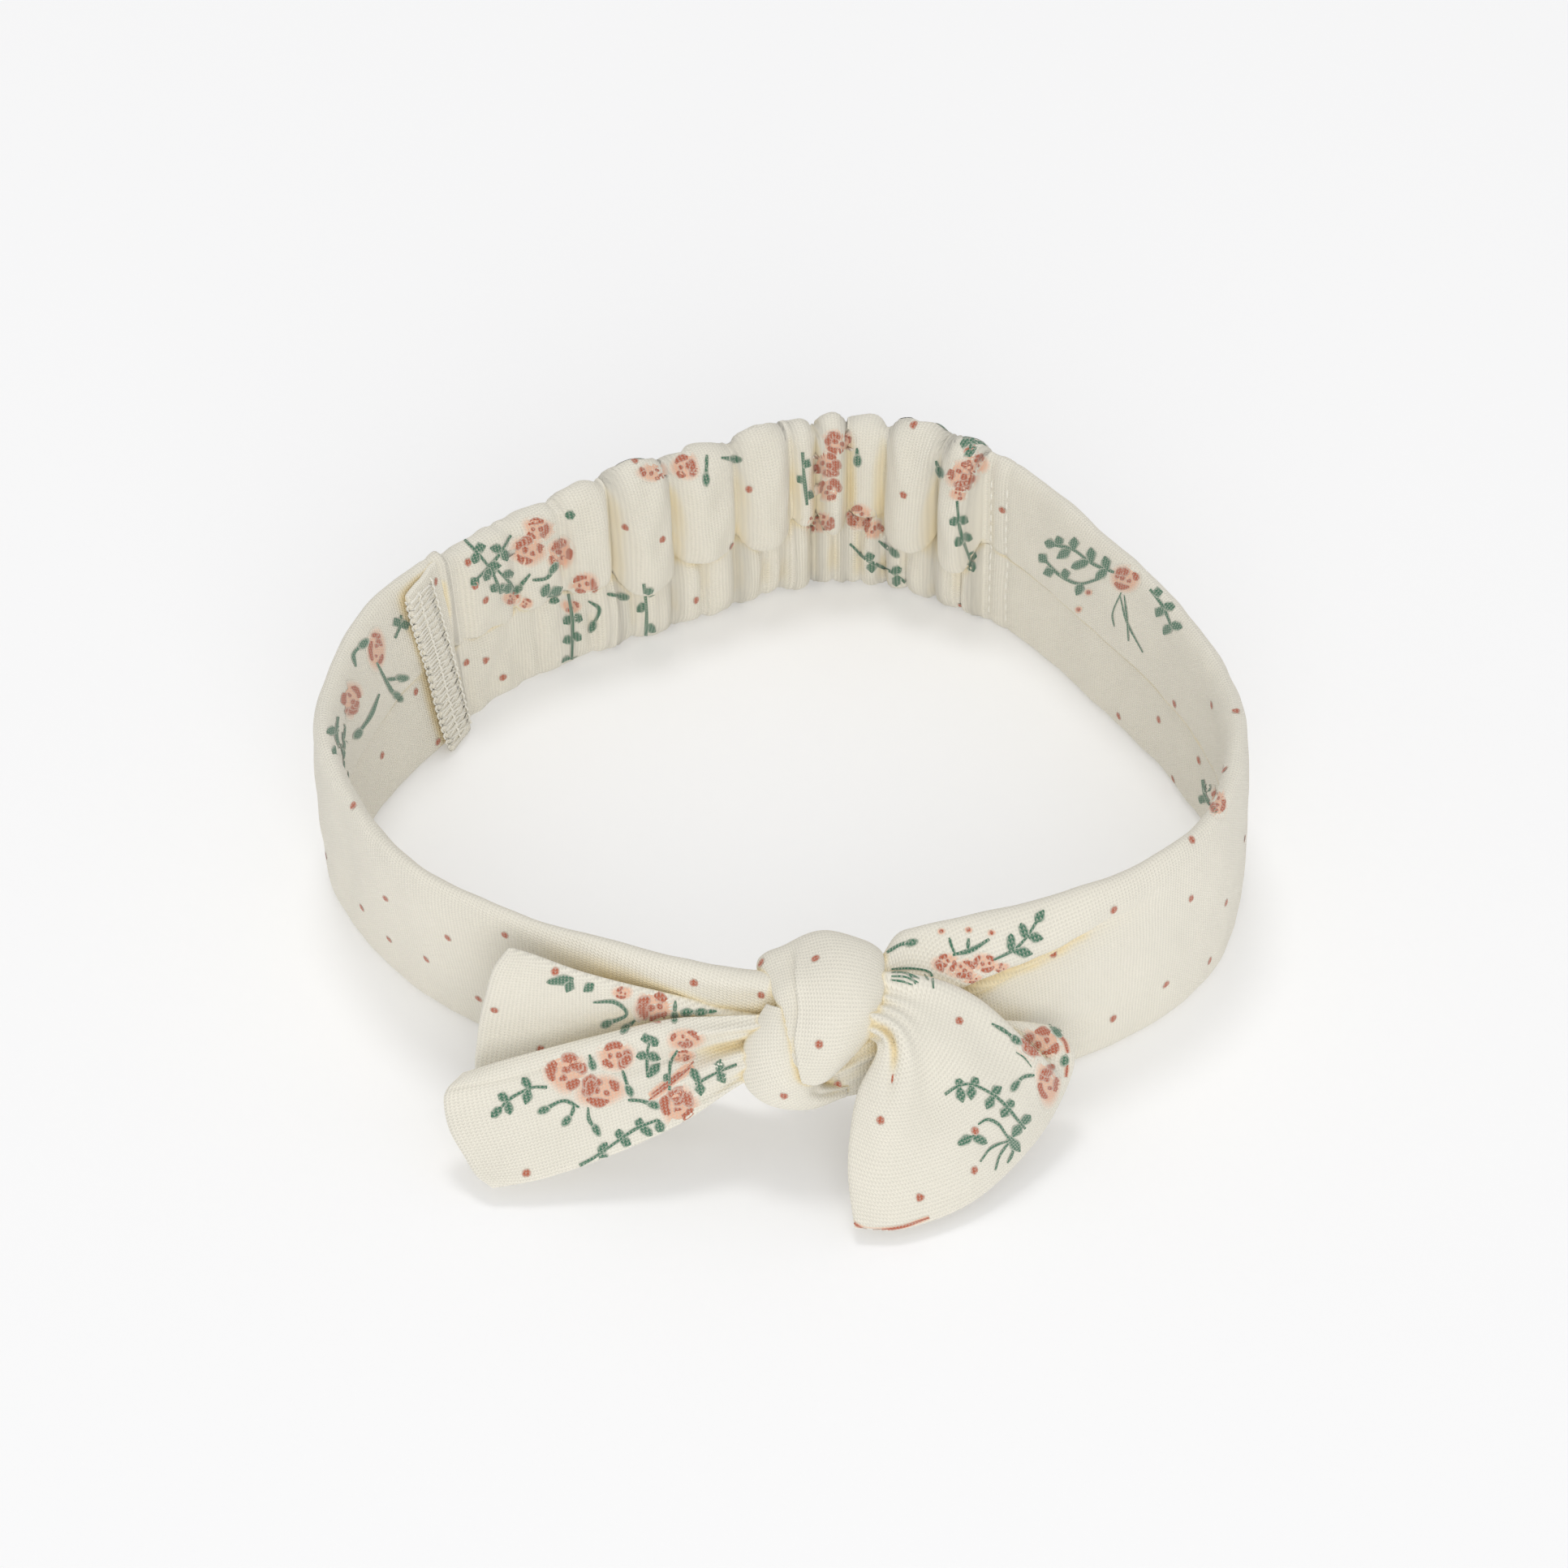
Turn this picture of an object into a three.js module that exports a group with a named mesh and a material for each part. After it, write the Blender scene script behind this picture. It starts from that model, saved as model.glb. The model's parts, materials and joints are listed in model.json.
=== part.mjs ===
// Knotted headband for a baby: a jersey tube closed into a loop by an overlocked seam, its back part
// gathered over an elastic strip, and a separate jersey tie knotted round the front of it.
// Millimetres, +Z up. The knot faces -Y and the band stands on its lower edge, on z = 0.
import * as THREE from 'three';

// Driving dimensions
const GAP = 0.3;               // air kept between two pieces that touch on the real headband
const BAND_HALF = 1.7;         // half the thickness of the doubled, softly puffed band
const LAYER = 1.2;             // thickness of one jersey layer of the casing, with its small gathers
const ELASTIC_HALF = 0.6;      // half the thickness of the elastic strip
const ELASTIC_MARGIN = 3.6;    // how far the elastic stays inside the casing's upper and lower folds
const CASING_HALF = ELASTIC_HALF + GAP + LAYER;
const SEAM_SLIT = 0.5;         // half the opening of the casing along its lengthwise seam
const SEAM_HALF = 0.45;        // half the size of the ridge that the lengthwise seam makes
const TAIL_THICKNESS = 2.2;    // two layers of jersey and their turned seam
const THREAD_HALF = 0.3;       // half the size of a sewing thread as a collision solid
const LOOP_SHIFT = new THREE.Vector3(0.46, 8.6, 0);  // puts the origin under the middle of the whole piece

const CREAM = 0xf0ede1;
const ELASTIC_WHITE = 0xf6f4ee;
const THREAD_CREAM = 0xf4efdc;

// The loop from above, anticlockwise from the knot: where the lower edge stands, the heights of the lower and
// upper edge, and how far the upper edge leans outwards.
const STATIONS = [
  { x: 5, y: -57, low: 9.5, high: 24.5, lean: 0 },
  { x: 22, y: -53.5, low: 1.5, high: 27.5, lean: 0 },
  { x: 45, y: -41, low: 0, high: 30, lean: 0.5 },
  { x: 57.5, y: -26.5, low: 0, high: 30, lean: 0.5 },
  { x: 61.3, y: -6, low: 0, high: 30, lean: -0.5 },
  { x: 55.3, y: 12.5, low: 0, high: 30, lean: 0 },
  { x: 46, y: 28.5, low: 0, high: 30, lean: 0 },
  { x: 31, y: 49, low: 0, high: 30, lean: 0 },
  { x: 8.5, y: 60.5, low: 0, high: 30, lean: 0 },
  { x: -16, y: 49, low: 0, high: 30, lean: 0 },
  { x: -38, y: 34.5, low: 0, high: 30, lean: 0 },
  { x: -53.5, y: 15, low: 0, high: 30, lean: 0 },
  { x: -61.8, y: -5, low: 0, high: 30, lean: 0 },
  { x: -57.5, y: -20, low: 0, high: 30, lean: 3 },
  { x: -44.5, y: -35.5, low: 0, high: 29, lean: 6 },
  { x: -22, y: -49.5, low: 1.5, high: 26.5, lean: 2.5 },
];

// Places along the loop, counted in stations.
const KNOT_RIGHT = 0.58;
const ANCHOR_ROW = 7.1;
const OVERLOCK = 10.8;
const KNOT_LEFT = 15.6;

const lowerEdge = new THREE.CatmullRomCurve3(
  STATIONS.map((s) => new THREE.Vector3(s.x, s.y, s.low)), true, 'catmullrom');
const upperEdge = new THREE.CatmullRomCurve3(
  STATIONS.map((s, i) => {
    const before = STATIONS.at(i - 1);
    const after = STATIONS[(i + 1) % STATIONS.length];
    const along = new THREE.Vector3(after.x - before.x, after.y - before.y, 0).normalize();
    return new THREE.Vector3(s.x + along.y * s.lean, s.y - along.x * s.lean, s.high);
  }), true, 'catmullrom');

// The band's frame at a place along the loop: its lower edge, the ways up and outwards, and its height.
function frameAt(station) {
  const t = (station / STATIONS.length) % 1;
  const base = lowerEdge.getPoint(t);
  base.setZ(Math.max(0, base.z));
  const rise = upperEdge.getPoint(t).sub(base);
  const height = rise.length();
  const up = rise.normalize();
  const out = lowerEdge.getTangent(t).cross(new THREE.Vector3(0, 0, 1)).normalize();
  return { base, up, out, height };
}

// A point of the band, out from its middle layer and up from its lower edge.
function bandPoint(frame, out, rise) {
  return frame.base.clone().addScaledVector(frame.out, out).addScaledVector(frame.up, rise);
}

function signedVolume(points, triangles) {
  let volume = 0;
  for (const [a, b, c] of triangles) {
    volume += points[a].dot(points[b].clone().cross(points[c]));
  }
  return volume;
}

// A closed mesh from points and triangles, turned so that its faces point outwards.
function solid(name, points, triangles, colour) {
  const outward = signedVolume(points, triangles) > 0;
  const geometry = new THREE.BufferGeometry().setFromPoints(points);
  geometry.setIndex(triangles.flatMap(([a, b, c]) => (outward ? [a, b, c] : [a, c, b])));
  geometry.computeVertexNormals();
  const material = new THREE.MeshStandardMaterial({ color: colour, roughness: 0.9, metalness: 0 });
  const mesh = new THREE.Mesh(geometry, material);
  mesh.name = name;
  return mesh;
}

// A solid through rings of points. It closes on itself, or ends in caps shaped like the outline.
function loft(name, rings, colour, outline = null) {
  const size = rings[0].length;
  const points = rings.flat();
  const triangles = [];
  const last = outline ? rings.length - 1 : rings.length;
  for (let i = 0; i < last; i++) {
    for (let j = 0; j < size; j++) {
      const a = i * size + j;
      const b = i * size + ((j + 1) % size);
      const c = ((i + 1) % rings.length) * size + j;
      const d = ((i + 1) % rings.length) * size + ((j + 1) % size);
      triangles.push([a, b, c], [b, d, c]);
    }
  }
  if (outline) {
    const turned = THREE.ShapeUtils.isClockWise(outline);
    for (const [a, b, c] of THREE.ShapeUtils.triangulateShape(outline, [])) {
      const end = (rings.length - 1) * size;
      triangles.push(turned ? [a, b, c] : [a, c, b]);
      triangles.push(turned ? [end + a, end + c, end + b] : [end + a, end + b, end + c]);
    }
    if (signedVolume(points, triangles) * signedVolume(points, triangles.slice(0, 2 * last * size)) < 0) {
      throw new Error(name + ': its caps face the wrong way');
    }
  }
  return solid(name, points, triangles, colour);
}

// A stretch of the band: section gives the outline as [out, rise] pairs for a height and a place.
function bandStretch(name, from, to, steps, section, colour) {
  const rings = [];
  for (let i = 0; i <= steps; i++) {
    const station = from + ((to - from) * i) / steps;
    const frame = frameAt(station);
    rings.push(section(frame.height, i / steps).map(([out, rise]) => bandPoint(frame, out, rise)));
  }
  const outline = section(frameAt(from).height, 0).map(([out, rise]) => new THREE.Vector2(out, rise));
  return loft(name, rings, colour, outline);
}

// The flattened tube: flat where it stands, round at its upper fold, fuller along its middle.
function bandSection(height) {
  const edge = 0.7 * BAND_HALF;
  return [
    [-edge, 0], [edge, 0], [BAND_HALF, 0.07 * height], [1.15 * BAND_HALF, 0.5 * height],
    [BAND_HALF, 0.93 * height], [edge, 0.985 * height], [0, height], [-edge, 0.985 * height],
    [-BAND_HALF, 0.93 * height], [-1.15 * BAND_HALF, 0.5 * height], [-BAND_HALF, 0.07 * height],
  ];
}

// The casing: one layer round the elastic, open along the lengthwise seam in the middle of its inner face.
const GATHERS = 11;
const GATHER_DEPTH = 1.1;
function casingSection(height, along) {
  const inner = ELASTIC_HALF + GAP;
  const puff = GATHER_DEPTH * (0.5 - 0.5 * Math.cos(2 * Math.PI * GATHERS * along));
  const wall = CASING_HALF + puff;
  const middle = 0.5 * height;
  return [
    [-wall, middle + SEAM_SLIT], [-wall, 0.93 * height], [-0.6 * wall, height], [0.6 * wall, height],
    [wall, 0.93 * height], [wall, 0.06 * height], [0.7 * CASING_HALF, 0], [-0.7 * CASING_HALF, 0],
    [-wall, 0.06 * height], [-wall, middle - SEAM_SLIT], [-inner, middle - SEAM_SLIT],
    [-inner, 0.1 * height], [-0.6 * inner, 0.06 * height], [0.6 * inner, 0.06 * height],
    [inner, 0.1 * height], [inner, 0.9 * height], [0.6 * inner, 0.94 * height],
    [-0.6 * inner, 0.94 * height], [-inner, 0.9 * height], [-inner, middle + SEAM_SLIT],
  ];
}

function elasticSection(height) {
  return [
    [-ELASTIC_HALF, ELASTIC_MARGIN], [ELASTIC_HALF, ELASTIC_MARGIN],
    [ELASTIC_HALF, height - ELASTIC_MARGIN], [-ELASTIC_HALF, height - ELASTIC_MARGIN],
  ];
}

// A ridge along the middle of the inner face, a little clear of a wall of the given half thickness.
function seamSection(wall) {
  return (height) => {
    const out = -wall - GAP - SEAM_HALF;
    const middle = 0.5 * height;
    return [
      [out - SEAM_HALF, middle], [out, middle - SEAM_HALF], [out + SEAM_HALF, middle], [out, middle + SEAM_HALF],
    ];
  };
}

// A cloth panel between rails that run from the knot to its free end, with the same thickness all over.
function panel(name, rails, thickness, colour) {
  const alongSteps = 14;
  const acrossSteps = 8;
  const curves = rails.map((rail) => new THREE.CatmullRomCurve3(rail.map((p) => new THREE.Vector3(...p))));
  const rows = [];
  for (let i = 0; i <= alongSteps; i++) {
    const across = new THREE.CatmullRomCurve3(curves.map((c) => c.getPoint(i / alongSteps)));
    rows.push(Array.from({ length: acrossSteps + 1 }, (_, j) => across.getPoint(j / acrossSteps)));
  }
  const faceAt = (side) => rows.map((row, i) => row.map((point, j) => {
    const along = rows[Math.min(i + 1, alongSteps)][j].clone().sub(rows[Math.max(i - 1, 0)][j]);
    const across = row[Math.min(j + 1, acrossSteps)].clone().sub(row[Math.max(j - 1, 0)]);
    return point.clone().addScaledVector(along.cross(across).normalize(), (side * thickness) / 2);
  }));
  const front = faceAt(1);
  const back = faceAt(-1);
  const rings = front.map((row, i) => [...row, ...back[i].toReversed()]);
  const outline = [
    ...Array.from({ length: acrossSteps + 1 }, (_, j) => new THREE.Vector2(j, 1)),
    ...Array.from({ length: acrossSteps + 1 }, (_, j) => new THREE.Vector2(acrossSteps - j, 0)),
  ];
  return loft(name, rings, colour, outline);
}

// A round or oval bar along a path, tapering towards both ends.
function bar(name, path, steps, halfWidth, halfDepth, colour) {
  const sides = 12;
  const curve = new THREE.CatmullRomCurve3(path.map((p) => new THREE.Vector3(...p)));
  const rings = [];
  for (let i = 0; i <= steps; i++) {
    const t = i / steps;
    const tangent = curve.getTangent(t);
    const side = new THREE.Vector3(0, 0, 1).cross(tangent).normalize();
    const up = tangent.clone().cross(side);
    const fullness = 0.55 + 0.45 * Math.sin(Math.PI * t);
    rings.push(Array.from({ length: sides }, (_, j) => {
      const angle = (2 * Math.PI * j) / sides;
      return curve.getPoint(t)
        .addScaledVector(side, halfDepth * fullness * Math.cos(angle))
        .addScaledVector(up, halfWidth * fullness * Math.sin(angle));
    }));
  }
  const outline = Array.from({ length: sides }, (_, j) => {
    const angle = (2 * Math.PI * j) / sides;
    return new THREE.Vector2(Math.cos(angle), Math.sin(angle));
  });
  return loft(name, rings, colour, outline);
}

// The tie's wrap: a wide, flat ring of cloth round the pinched band.
const WRAP = { y: -57, z: 17, left: -4.3, right: 13.6, innerY: 4.3, innerZ: 8, thickness: 3.4 };
function wrapRing() {
  const steps = 40;
  const rings = [];
  for (let i = 0; i < steps; i++) {
    const angle = (2 * Math.PI * i) / steps;
    const place = (x, grow) => new THREE.Vector3(
      x,
      WRAP.y + (WRAP.innerY + grow) * Math.cos(angle),
      WRAP.z + (WRAP.innerZ + grow) * Math.sin(angle));
    const full = WRAP.thickness;
    const width = WRAP.right - WRAP.left;
    rings.push([
      place(WRAP.left, 0), place(WRAP.left, 0.5 * full), place(WRAP.left + 0.12 * width, 0.85 * full),
      place(WRAP.left + 0.5 * width, full), place(WRAP.right - 0.12 * width, 0.85 * full),
      place(WRAP.right, 0.5 * full), place(WRAP.right, 0),
    ]);
  }
  return loft('knot_wrap', rings, CREAM);
}

// The band where the tie squeezes it into a thick, narrow bundle.
function knotCore() {
  const sides = 14;
  const steps = 6;
  const rings = [];
  for (let i = 0; i <= steps; i++) {
    const x = WRAP.left + GAP + ((WRAP.right - WRAP.left - 2 * GAP) * i) / steps;
    rings.push(Array.from({ length: sides }, (_, j) => {
      const angle = (2 * Math.PI * j) / sides;
      return new THREE.Vector3(
        x,
        WRAP.y + (WRAP.innerY - GAP) * Math.cos(angle),
        WRAP.z + (WRAP.innerZ - GAP) * Math.sin(angle));
    }));
  }
  const outline = Array.from({ length: sides }, (_, j) => {
    const angle = (2 * Math.PI * j) / sides;
    return new THREE.Vector2(Math.cos(angle), Math.sin(angle));
  });
  return loft('band_knot_core', rings, CREAM, outline);
}

// The seam allowance: both ends of the tube, overlocked together and turned flat against the inner face.
const ALLOWANCE = { width: 0.34, thickness: 1.5 };
function seamAllowance() {
  const from = OVERLOCK - 0.02;
  const section = (height) => [
    [-CASING_HALF - 1.6 - ALLOWANCE.thickness, 0.4], [-CASING_HALF - 1.6, 0.4],
    [-CASING_HALF - 1.6, height - 1.2], [-CASING_HALF - 1.6 - ALLOWANCE.thickness, height - 1.2],
  ];
  return bandStretch('overlock_seam_allowance', from - ALLOWANCE.width, from, 6, section, CREAM);
}

// A thread that zigzags up the inner face at a place along the loop.
function zigzagThread(name, station, reach, out, stitches, colour) {
  const path = [];
  for (let i = 0; i <= 2 * stitches; i++) {
    const frame = frameAt(station + (i % 2 ? reach : 0));
    path.push(bandPoint(frame, -out, 1.5 + ((frame.height - 3.5) * i) / (2 * stitches)));
  }
  const section = new THREE.Shape([
    new THREE.Vector2(-THREAD_HALF, -THREAD_HALF), new THREE.Vector2(THREAD_HALF, -THREAD_HALF),
    new THREE.Vector2(THREAD_HALF, THREAD_HALF), new THREE.Vector2(-THREAD_HALF, THREAD_HALF),
  ]);
  const geometry = new THREE.ExtrudeGeometry(section, {
    steps: 6 * stitches, bevelEnabled: false, extrudePath: new THREE.CatmullRomCurve3(path),
  });
  const material = new THREE.MeshStandardMaterial({ color: colour, roughness: 0.8, metalness: 0 });
  const mesh = new THREE.Mesh(geometry, material);
  mesh.name = name;
  return mesh;
}

const headband = new THREE.Group();
headband.position.copy(LOOP_SHIFT);

const JOINT = 0.012;  // half the gap between two stretches of the loop, in stations
headband.add(
  bandStretch('band_front_right', KNOT_RIGHT, ANCHOR_ROW - JOINT, 44, bandSection, CREAM),
  bandStretch('band_front_left', OVERLOCK + JOINT, KNOT_LEFT, 36, bandSection, CREAM),
  knotCore(),
  bandStretch('gathered_casing', ANCHOR_ROW + JOINT, OVERLOCK - JOINT, 66, casingSection, CREAM),
  bandStretch('elastic_strip', ANCHOR_ROW + 2 * JOINT, OVERLOCK - 2 * JOINT, 36, elasticSection, ELASTIC_WHITE),
);

headband.add(
  bandStretch('lengthwise_seam_right', KNOT_RIGHT + 0.1, ANCHOR_ROW - 0.14, 40,
    seamSection(1.15 * BAND_HALF), CREAM),
  bandStretch('lengthwise_seam_left', OVERLOCK + 0.1, KNOT_LEFT - 0.1, 32,
    seamSection(1.15 * BAND_HALF), CREAM),
  bandStretch('lengthwise_seam_casing', ANCHOR_ROW + 0.1, OVERLOCK - ALLOWANCE.width - 0.1, 36,
    seamSection(CASING_HALF + GATHER_DEPTH), CREAM),
  seamAllowance(),
  zigzagThread('overlock_thread', OVERLOCK + 0.03, 0.09, CASING_HALF + 1.9, 12, THREAD_CREAM),
  zigzagThread('elastic_anchor_stitches', ANCHOR_ROW - 0.08, 0.03, 1.15 * BAND_HALF + 0.8, 8, THREAD_CREAM),
);

headband.add(
  wrapRing(),
  bar('knot_under_lobe', [[-7, -60.5, 20], [-7.6, -66.5, 14.5], [-1, -70.5, 9.8], [6, -70, 8], [11.5, -66.5, 7.5]],
    16, 5.2, 3.2, CREAM),
  panel('left_tail_upper_ear', [
    [[-11.2, -60, 23], [-21, -59, 25], [-37, -57, 26.5]],
    [[-11.2, -61, 20], [-22, -59.5, 18], [-40.5, -57.5, 17]],
    [[-11.2, -61.5, 17.8], [-22, -60, 12], [-41, -57.5, 6.5]],
  ], TAIL_THICKNESS, CREAM),
  panel('left_tail_lower_ear', [
    [[-12, -66.5, 16.5], [-25, -66, 15], [-43.5, -64, 13]],
    [[-12, -68, 13.5], [-25, -70, 10.5], [-45, -69, 7.6]],
    [[-12, -69.5, 10.8], [-24, -72.5, 6], [-38.5, -74.5, 1.8]],
  ], TAIL_THICKNESS, CREAM),
  panel('right_tail_fold', [
    [[16, -60, 20], [25, -57.5, 16.5], [33.3, -54.5, 13.5]],
    [[16, -61.5, 16], [26, -58.5, 12], [38, -55.5, 9.5]],
    [[16, -63, 13], [26, -60, 8], [36, -58.5, 5.5]],
  ], TAIL_THICKNESS, CREAM),
  panel('right_tail_panel', [
    [[14.5, -65, 20], [23, -64.5, 17.5], [32.3, -63.5, 13.5]],
    [[14, -66.5, 18], [24, -68.5, 13.5], [32, -69.5, 8]],
    [[13.5, -68, 16], [19, -73, 10], [24, -77, 2.8]],
    [[13, -69, 14], [13, -74, 8.5], [12, -80, 1.7]],
    [[12.5, -69.5, 12.5], [10.5, -73.5, 8], [8, -78, 2.2]],
  ], TAIL_THICKNESS, CREAM),
);

export default headband;
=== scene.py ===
"""Knotted headband for a baby, in printed interlock jersey.

Lengths are in millimetres in the design frame of the loop (the knot faces -Y, +Z is up) and become metres
in the row frame when a mesh is made.
"""
import json
import math

import bpy
import numpy as np
from mathutils import Vector
from mathutils.bvhtree import BVHTree
from mathutils.interpolate import poly_3d_calc
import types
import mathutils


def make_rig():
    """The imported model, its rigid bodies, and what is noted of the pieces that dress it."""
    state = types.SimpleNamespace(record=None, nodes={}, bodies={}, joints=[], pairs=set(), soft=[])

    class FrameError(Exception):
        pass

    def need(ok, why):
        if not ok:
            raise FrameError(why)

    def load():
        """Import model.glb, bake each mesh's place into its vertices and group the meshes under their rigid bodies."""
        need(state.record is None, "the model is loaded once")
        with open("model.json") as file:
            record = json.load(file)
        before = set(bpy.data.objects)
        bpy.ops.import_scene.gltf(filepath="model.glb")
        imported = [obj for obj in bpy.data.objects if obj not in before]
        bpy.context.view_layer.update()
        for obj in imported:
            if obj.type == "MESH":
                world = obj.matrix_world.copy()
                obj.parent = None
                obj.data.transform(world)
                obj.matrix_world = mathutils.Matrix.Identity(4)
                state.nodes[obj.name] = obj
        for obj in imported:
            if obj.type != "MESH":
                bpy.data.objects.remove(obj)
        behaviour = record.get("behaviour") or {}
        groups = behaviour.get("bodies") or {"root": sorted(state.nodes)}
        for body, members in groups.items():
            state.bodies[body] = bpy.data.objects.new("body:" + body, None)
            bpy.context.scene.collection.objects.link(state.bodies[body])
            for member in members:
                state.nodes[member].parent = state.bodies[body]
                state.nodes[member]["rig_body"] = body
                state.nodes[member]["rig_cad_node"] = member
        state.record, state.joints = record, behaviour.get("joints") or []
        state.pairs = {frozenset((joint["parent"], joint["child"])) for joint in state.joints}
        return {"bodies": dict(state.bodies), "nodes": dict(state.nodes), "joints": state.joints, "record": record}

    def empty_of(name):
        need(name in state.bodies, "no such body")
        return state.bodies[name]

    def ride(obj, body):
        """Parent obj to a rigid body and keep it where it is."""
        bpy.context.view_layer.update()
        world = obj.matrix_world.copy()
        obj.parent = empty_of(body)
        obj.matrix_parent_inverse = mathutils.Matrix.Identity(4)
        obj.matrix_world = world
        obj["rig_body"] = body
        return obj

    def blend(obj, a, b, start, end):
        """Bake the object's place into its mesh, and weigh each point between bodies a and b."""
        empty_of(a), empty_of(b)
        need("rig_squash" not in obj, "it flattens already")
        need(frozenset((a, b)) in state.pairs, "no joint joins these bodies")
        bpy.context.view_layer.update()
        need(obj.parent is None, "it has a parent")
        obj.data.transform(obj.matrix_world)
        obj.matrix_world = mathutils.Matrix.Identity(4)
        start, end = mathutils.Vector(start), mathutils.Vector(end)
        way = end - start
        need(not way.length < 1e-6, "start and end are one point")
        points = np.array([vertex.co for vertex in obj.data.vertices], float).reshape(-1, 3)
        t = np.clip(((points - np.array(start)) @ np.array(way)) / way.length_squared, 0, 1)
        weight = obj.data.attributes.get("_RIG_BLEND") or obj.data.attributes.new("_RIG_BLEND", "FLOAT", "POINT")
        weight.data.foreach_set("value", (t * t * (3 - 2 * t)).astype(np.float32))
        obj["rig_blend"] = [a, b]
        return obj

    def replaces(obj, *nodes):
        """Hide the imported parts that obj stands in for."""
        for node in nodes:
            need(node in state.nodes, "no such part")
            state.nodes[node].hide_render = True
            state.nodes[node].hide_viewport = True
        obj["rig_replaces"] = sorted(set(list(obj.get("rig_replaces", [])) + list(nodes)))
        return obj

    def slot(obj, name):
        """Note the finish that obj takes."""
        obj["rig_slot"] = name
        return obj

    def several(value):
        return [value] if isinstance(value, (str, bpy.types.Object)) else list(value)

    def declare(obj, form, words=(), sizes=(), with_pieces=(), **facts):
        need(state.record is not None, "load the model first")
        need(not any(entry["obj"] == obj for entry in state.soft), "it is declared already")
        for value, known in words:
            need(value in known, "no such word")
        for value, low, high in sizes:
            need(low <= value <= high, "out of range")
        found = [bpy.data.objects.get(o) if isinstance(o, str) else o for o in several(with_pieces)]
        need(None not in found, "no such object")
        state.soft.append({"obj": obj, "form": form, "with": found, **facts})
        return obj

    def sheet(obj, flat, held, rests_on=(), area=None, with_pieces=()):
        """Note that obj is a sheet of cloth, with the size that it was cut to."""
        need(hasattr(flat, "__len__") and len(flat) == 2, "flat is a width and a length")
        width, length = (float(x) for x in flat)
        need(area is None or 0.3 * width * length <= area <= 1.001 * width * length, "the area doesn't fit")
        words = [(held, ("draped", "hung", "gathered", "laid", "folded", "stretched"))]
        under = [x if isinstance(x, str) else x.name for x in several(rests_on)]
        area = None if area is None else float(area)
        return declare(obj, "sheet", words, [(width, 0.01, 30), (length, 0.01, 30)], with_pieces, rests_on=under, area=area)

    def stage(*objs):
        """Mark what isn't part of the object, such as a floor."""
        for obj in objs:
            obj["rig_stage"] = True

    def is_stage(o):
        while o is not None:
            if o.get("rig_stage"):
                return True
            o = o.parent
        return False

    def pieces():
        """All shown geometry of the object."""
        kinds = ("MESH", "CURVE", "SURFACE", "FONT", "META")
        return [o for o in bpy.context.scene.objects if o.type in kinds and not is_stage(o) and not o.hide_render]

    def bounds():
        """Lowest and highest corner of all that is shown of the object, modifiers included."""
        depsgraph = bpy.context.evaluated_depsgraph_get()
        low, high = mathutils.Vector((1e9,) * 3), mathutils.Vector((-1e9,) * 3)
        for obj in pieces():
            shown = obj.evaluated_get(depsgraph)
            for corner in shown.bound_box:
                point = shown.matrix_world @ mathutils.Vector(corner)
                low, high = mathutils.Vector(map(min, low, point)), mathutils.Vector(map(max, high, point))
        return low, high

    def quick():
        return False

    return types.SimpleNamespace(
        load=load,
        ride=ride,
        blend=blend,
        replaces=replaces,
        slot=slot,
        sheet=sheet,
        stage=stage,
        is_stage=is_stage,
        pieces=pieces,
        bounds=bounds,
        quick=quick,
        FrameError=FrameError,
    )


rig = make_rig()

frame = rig.load()
cad_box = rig.bounds()


def unit_sphere(count):
    """Directions spread evenly over a sphere."""
    k = np.arange(count) + 0.5
    height, turn = 1 - 2 * k / count, math.pi * (1 + math.sqrt(5)) * k
    flat = np.sqrt(1 - height**2)
    return np.stack([flat * np.cos(turn), flat * np.sin(turn), height], -1)


# ---------------------------------------------------------------- driving dimensions
MM = 0.001
LOOP_SHIFT = np.array([0.46, 8.6, 0.0])

# The loop of the CAD, with its leans and its back set more exactly. From above, anticlockwise from the knot:
# x and y of the lower edge, heights of the lower and upper edge, and how far the upper edge leans outwards.
STATIONS = np.array([
    (5, -57, 9.5, 24.5, 0),
    (22, -53.5, 1.5, 27.5, 0),
    (45, -41, 0, 30, 0.5),
    (57.5, -26.5, 0, 30, 0.5),
    (61.3, -6, 0, 30, -0.5),
    (55.3, 12.5, 0, 30, 0),
    (46, 28.5, 0, 30, 0),
    (31, 48.6, 0, 30, 0),
    (8.5, 58.9, 0, 30, 0),
    (-16, 49, 0, 30, 0.5),
    (-38, 34.5, 0, 30, 2),
    (-53.5, 15, 0, 30, 3.8),
    (-61.8, -5, 0, 30, 1.2),
    (-57.5, -20, 0, 30, 3),
    (-44.5, -35.5, 0, 29, 6),
    (-22, -49.5, 1.5, 26.5, 2.5),
], float)
COUNT = len(STATIONS)
ANCHOR_ROW = 7.1      # where the elastic's end is held, in stations
ANCHOR_SHIFTS = (-1.2, -4.4)      # of the two rows of stitches there, in millimetres along the loop
OVERLOCK = 10.5       # cross seam that closes the loop, in stations
SEAM_SLANT = 4.0      # how far the cross seam runs along the loop from its foot to its top
GATHERS_END = (10.3, 10.6)        # stations between which the gathers run out, before the cross seam

# Fabric
WALE = 0.5            # width of a knit column
COURSE = 0.42         # height of a knit row
INK_LIFT = 0.03       # the print stands this far off the jersey

FLOOR_GAP = 0.05      # no cloth is lower than this

# Creases: how far rays look for other cloth
NOOK_REACH = 7.0
NOOK_RAYS = unit_sphere(14)
NOOK_START = 0.12     # rays start this far off the cloth, clear of its own faces
NOOK_LEAN = 1.25      # how strongly the rays lean away from the cloth


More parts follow.
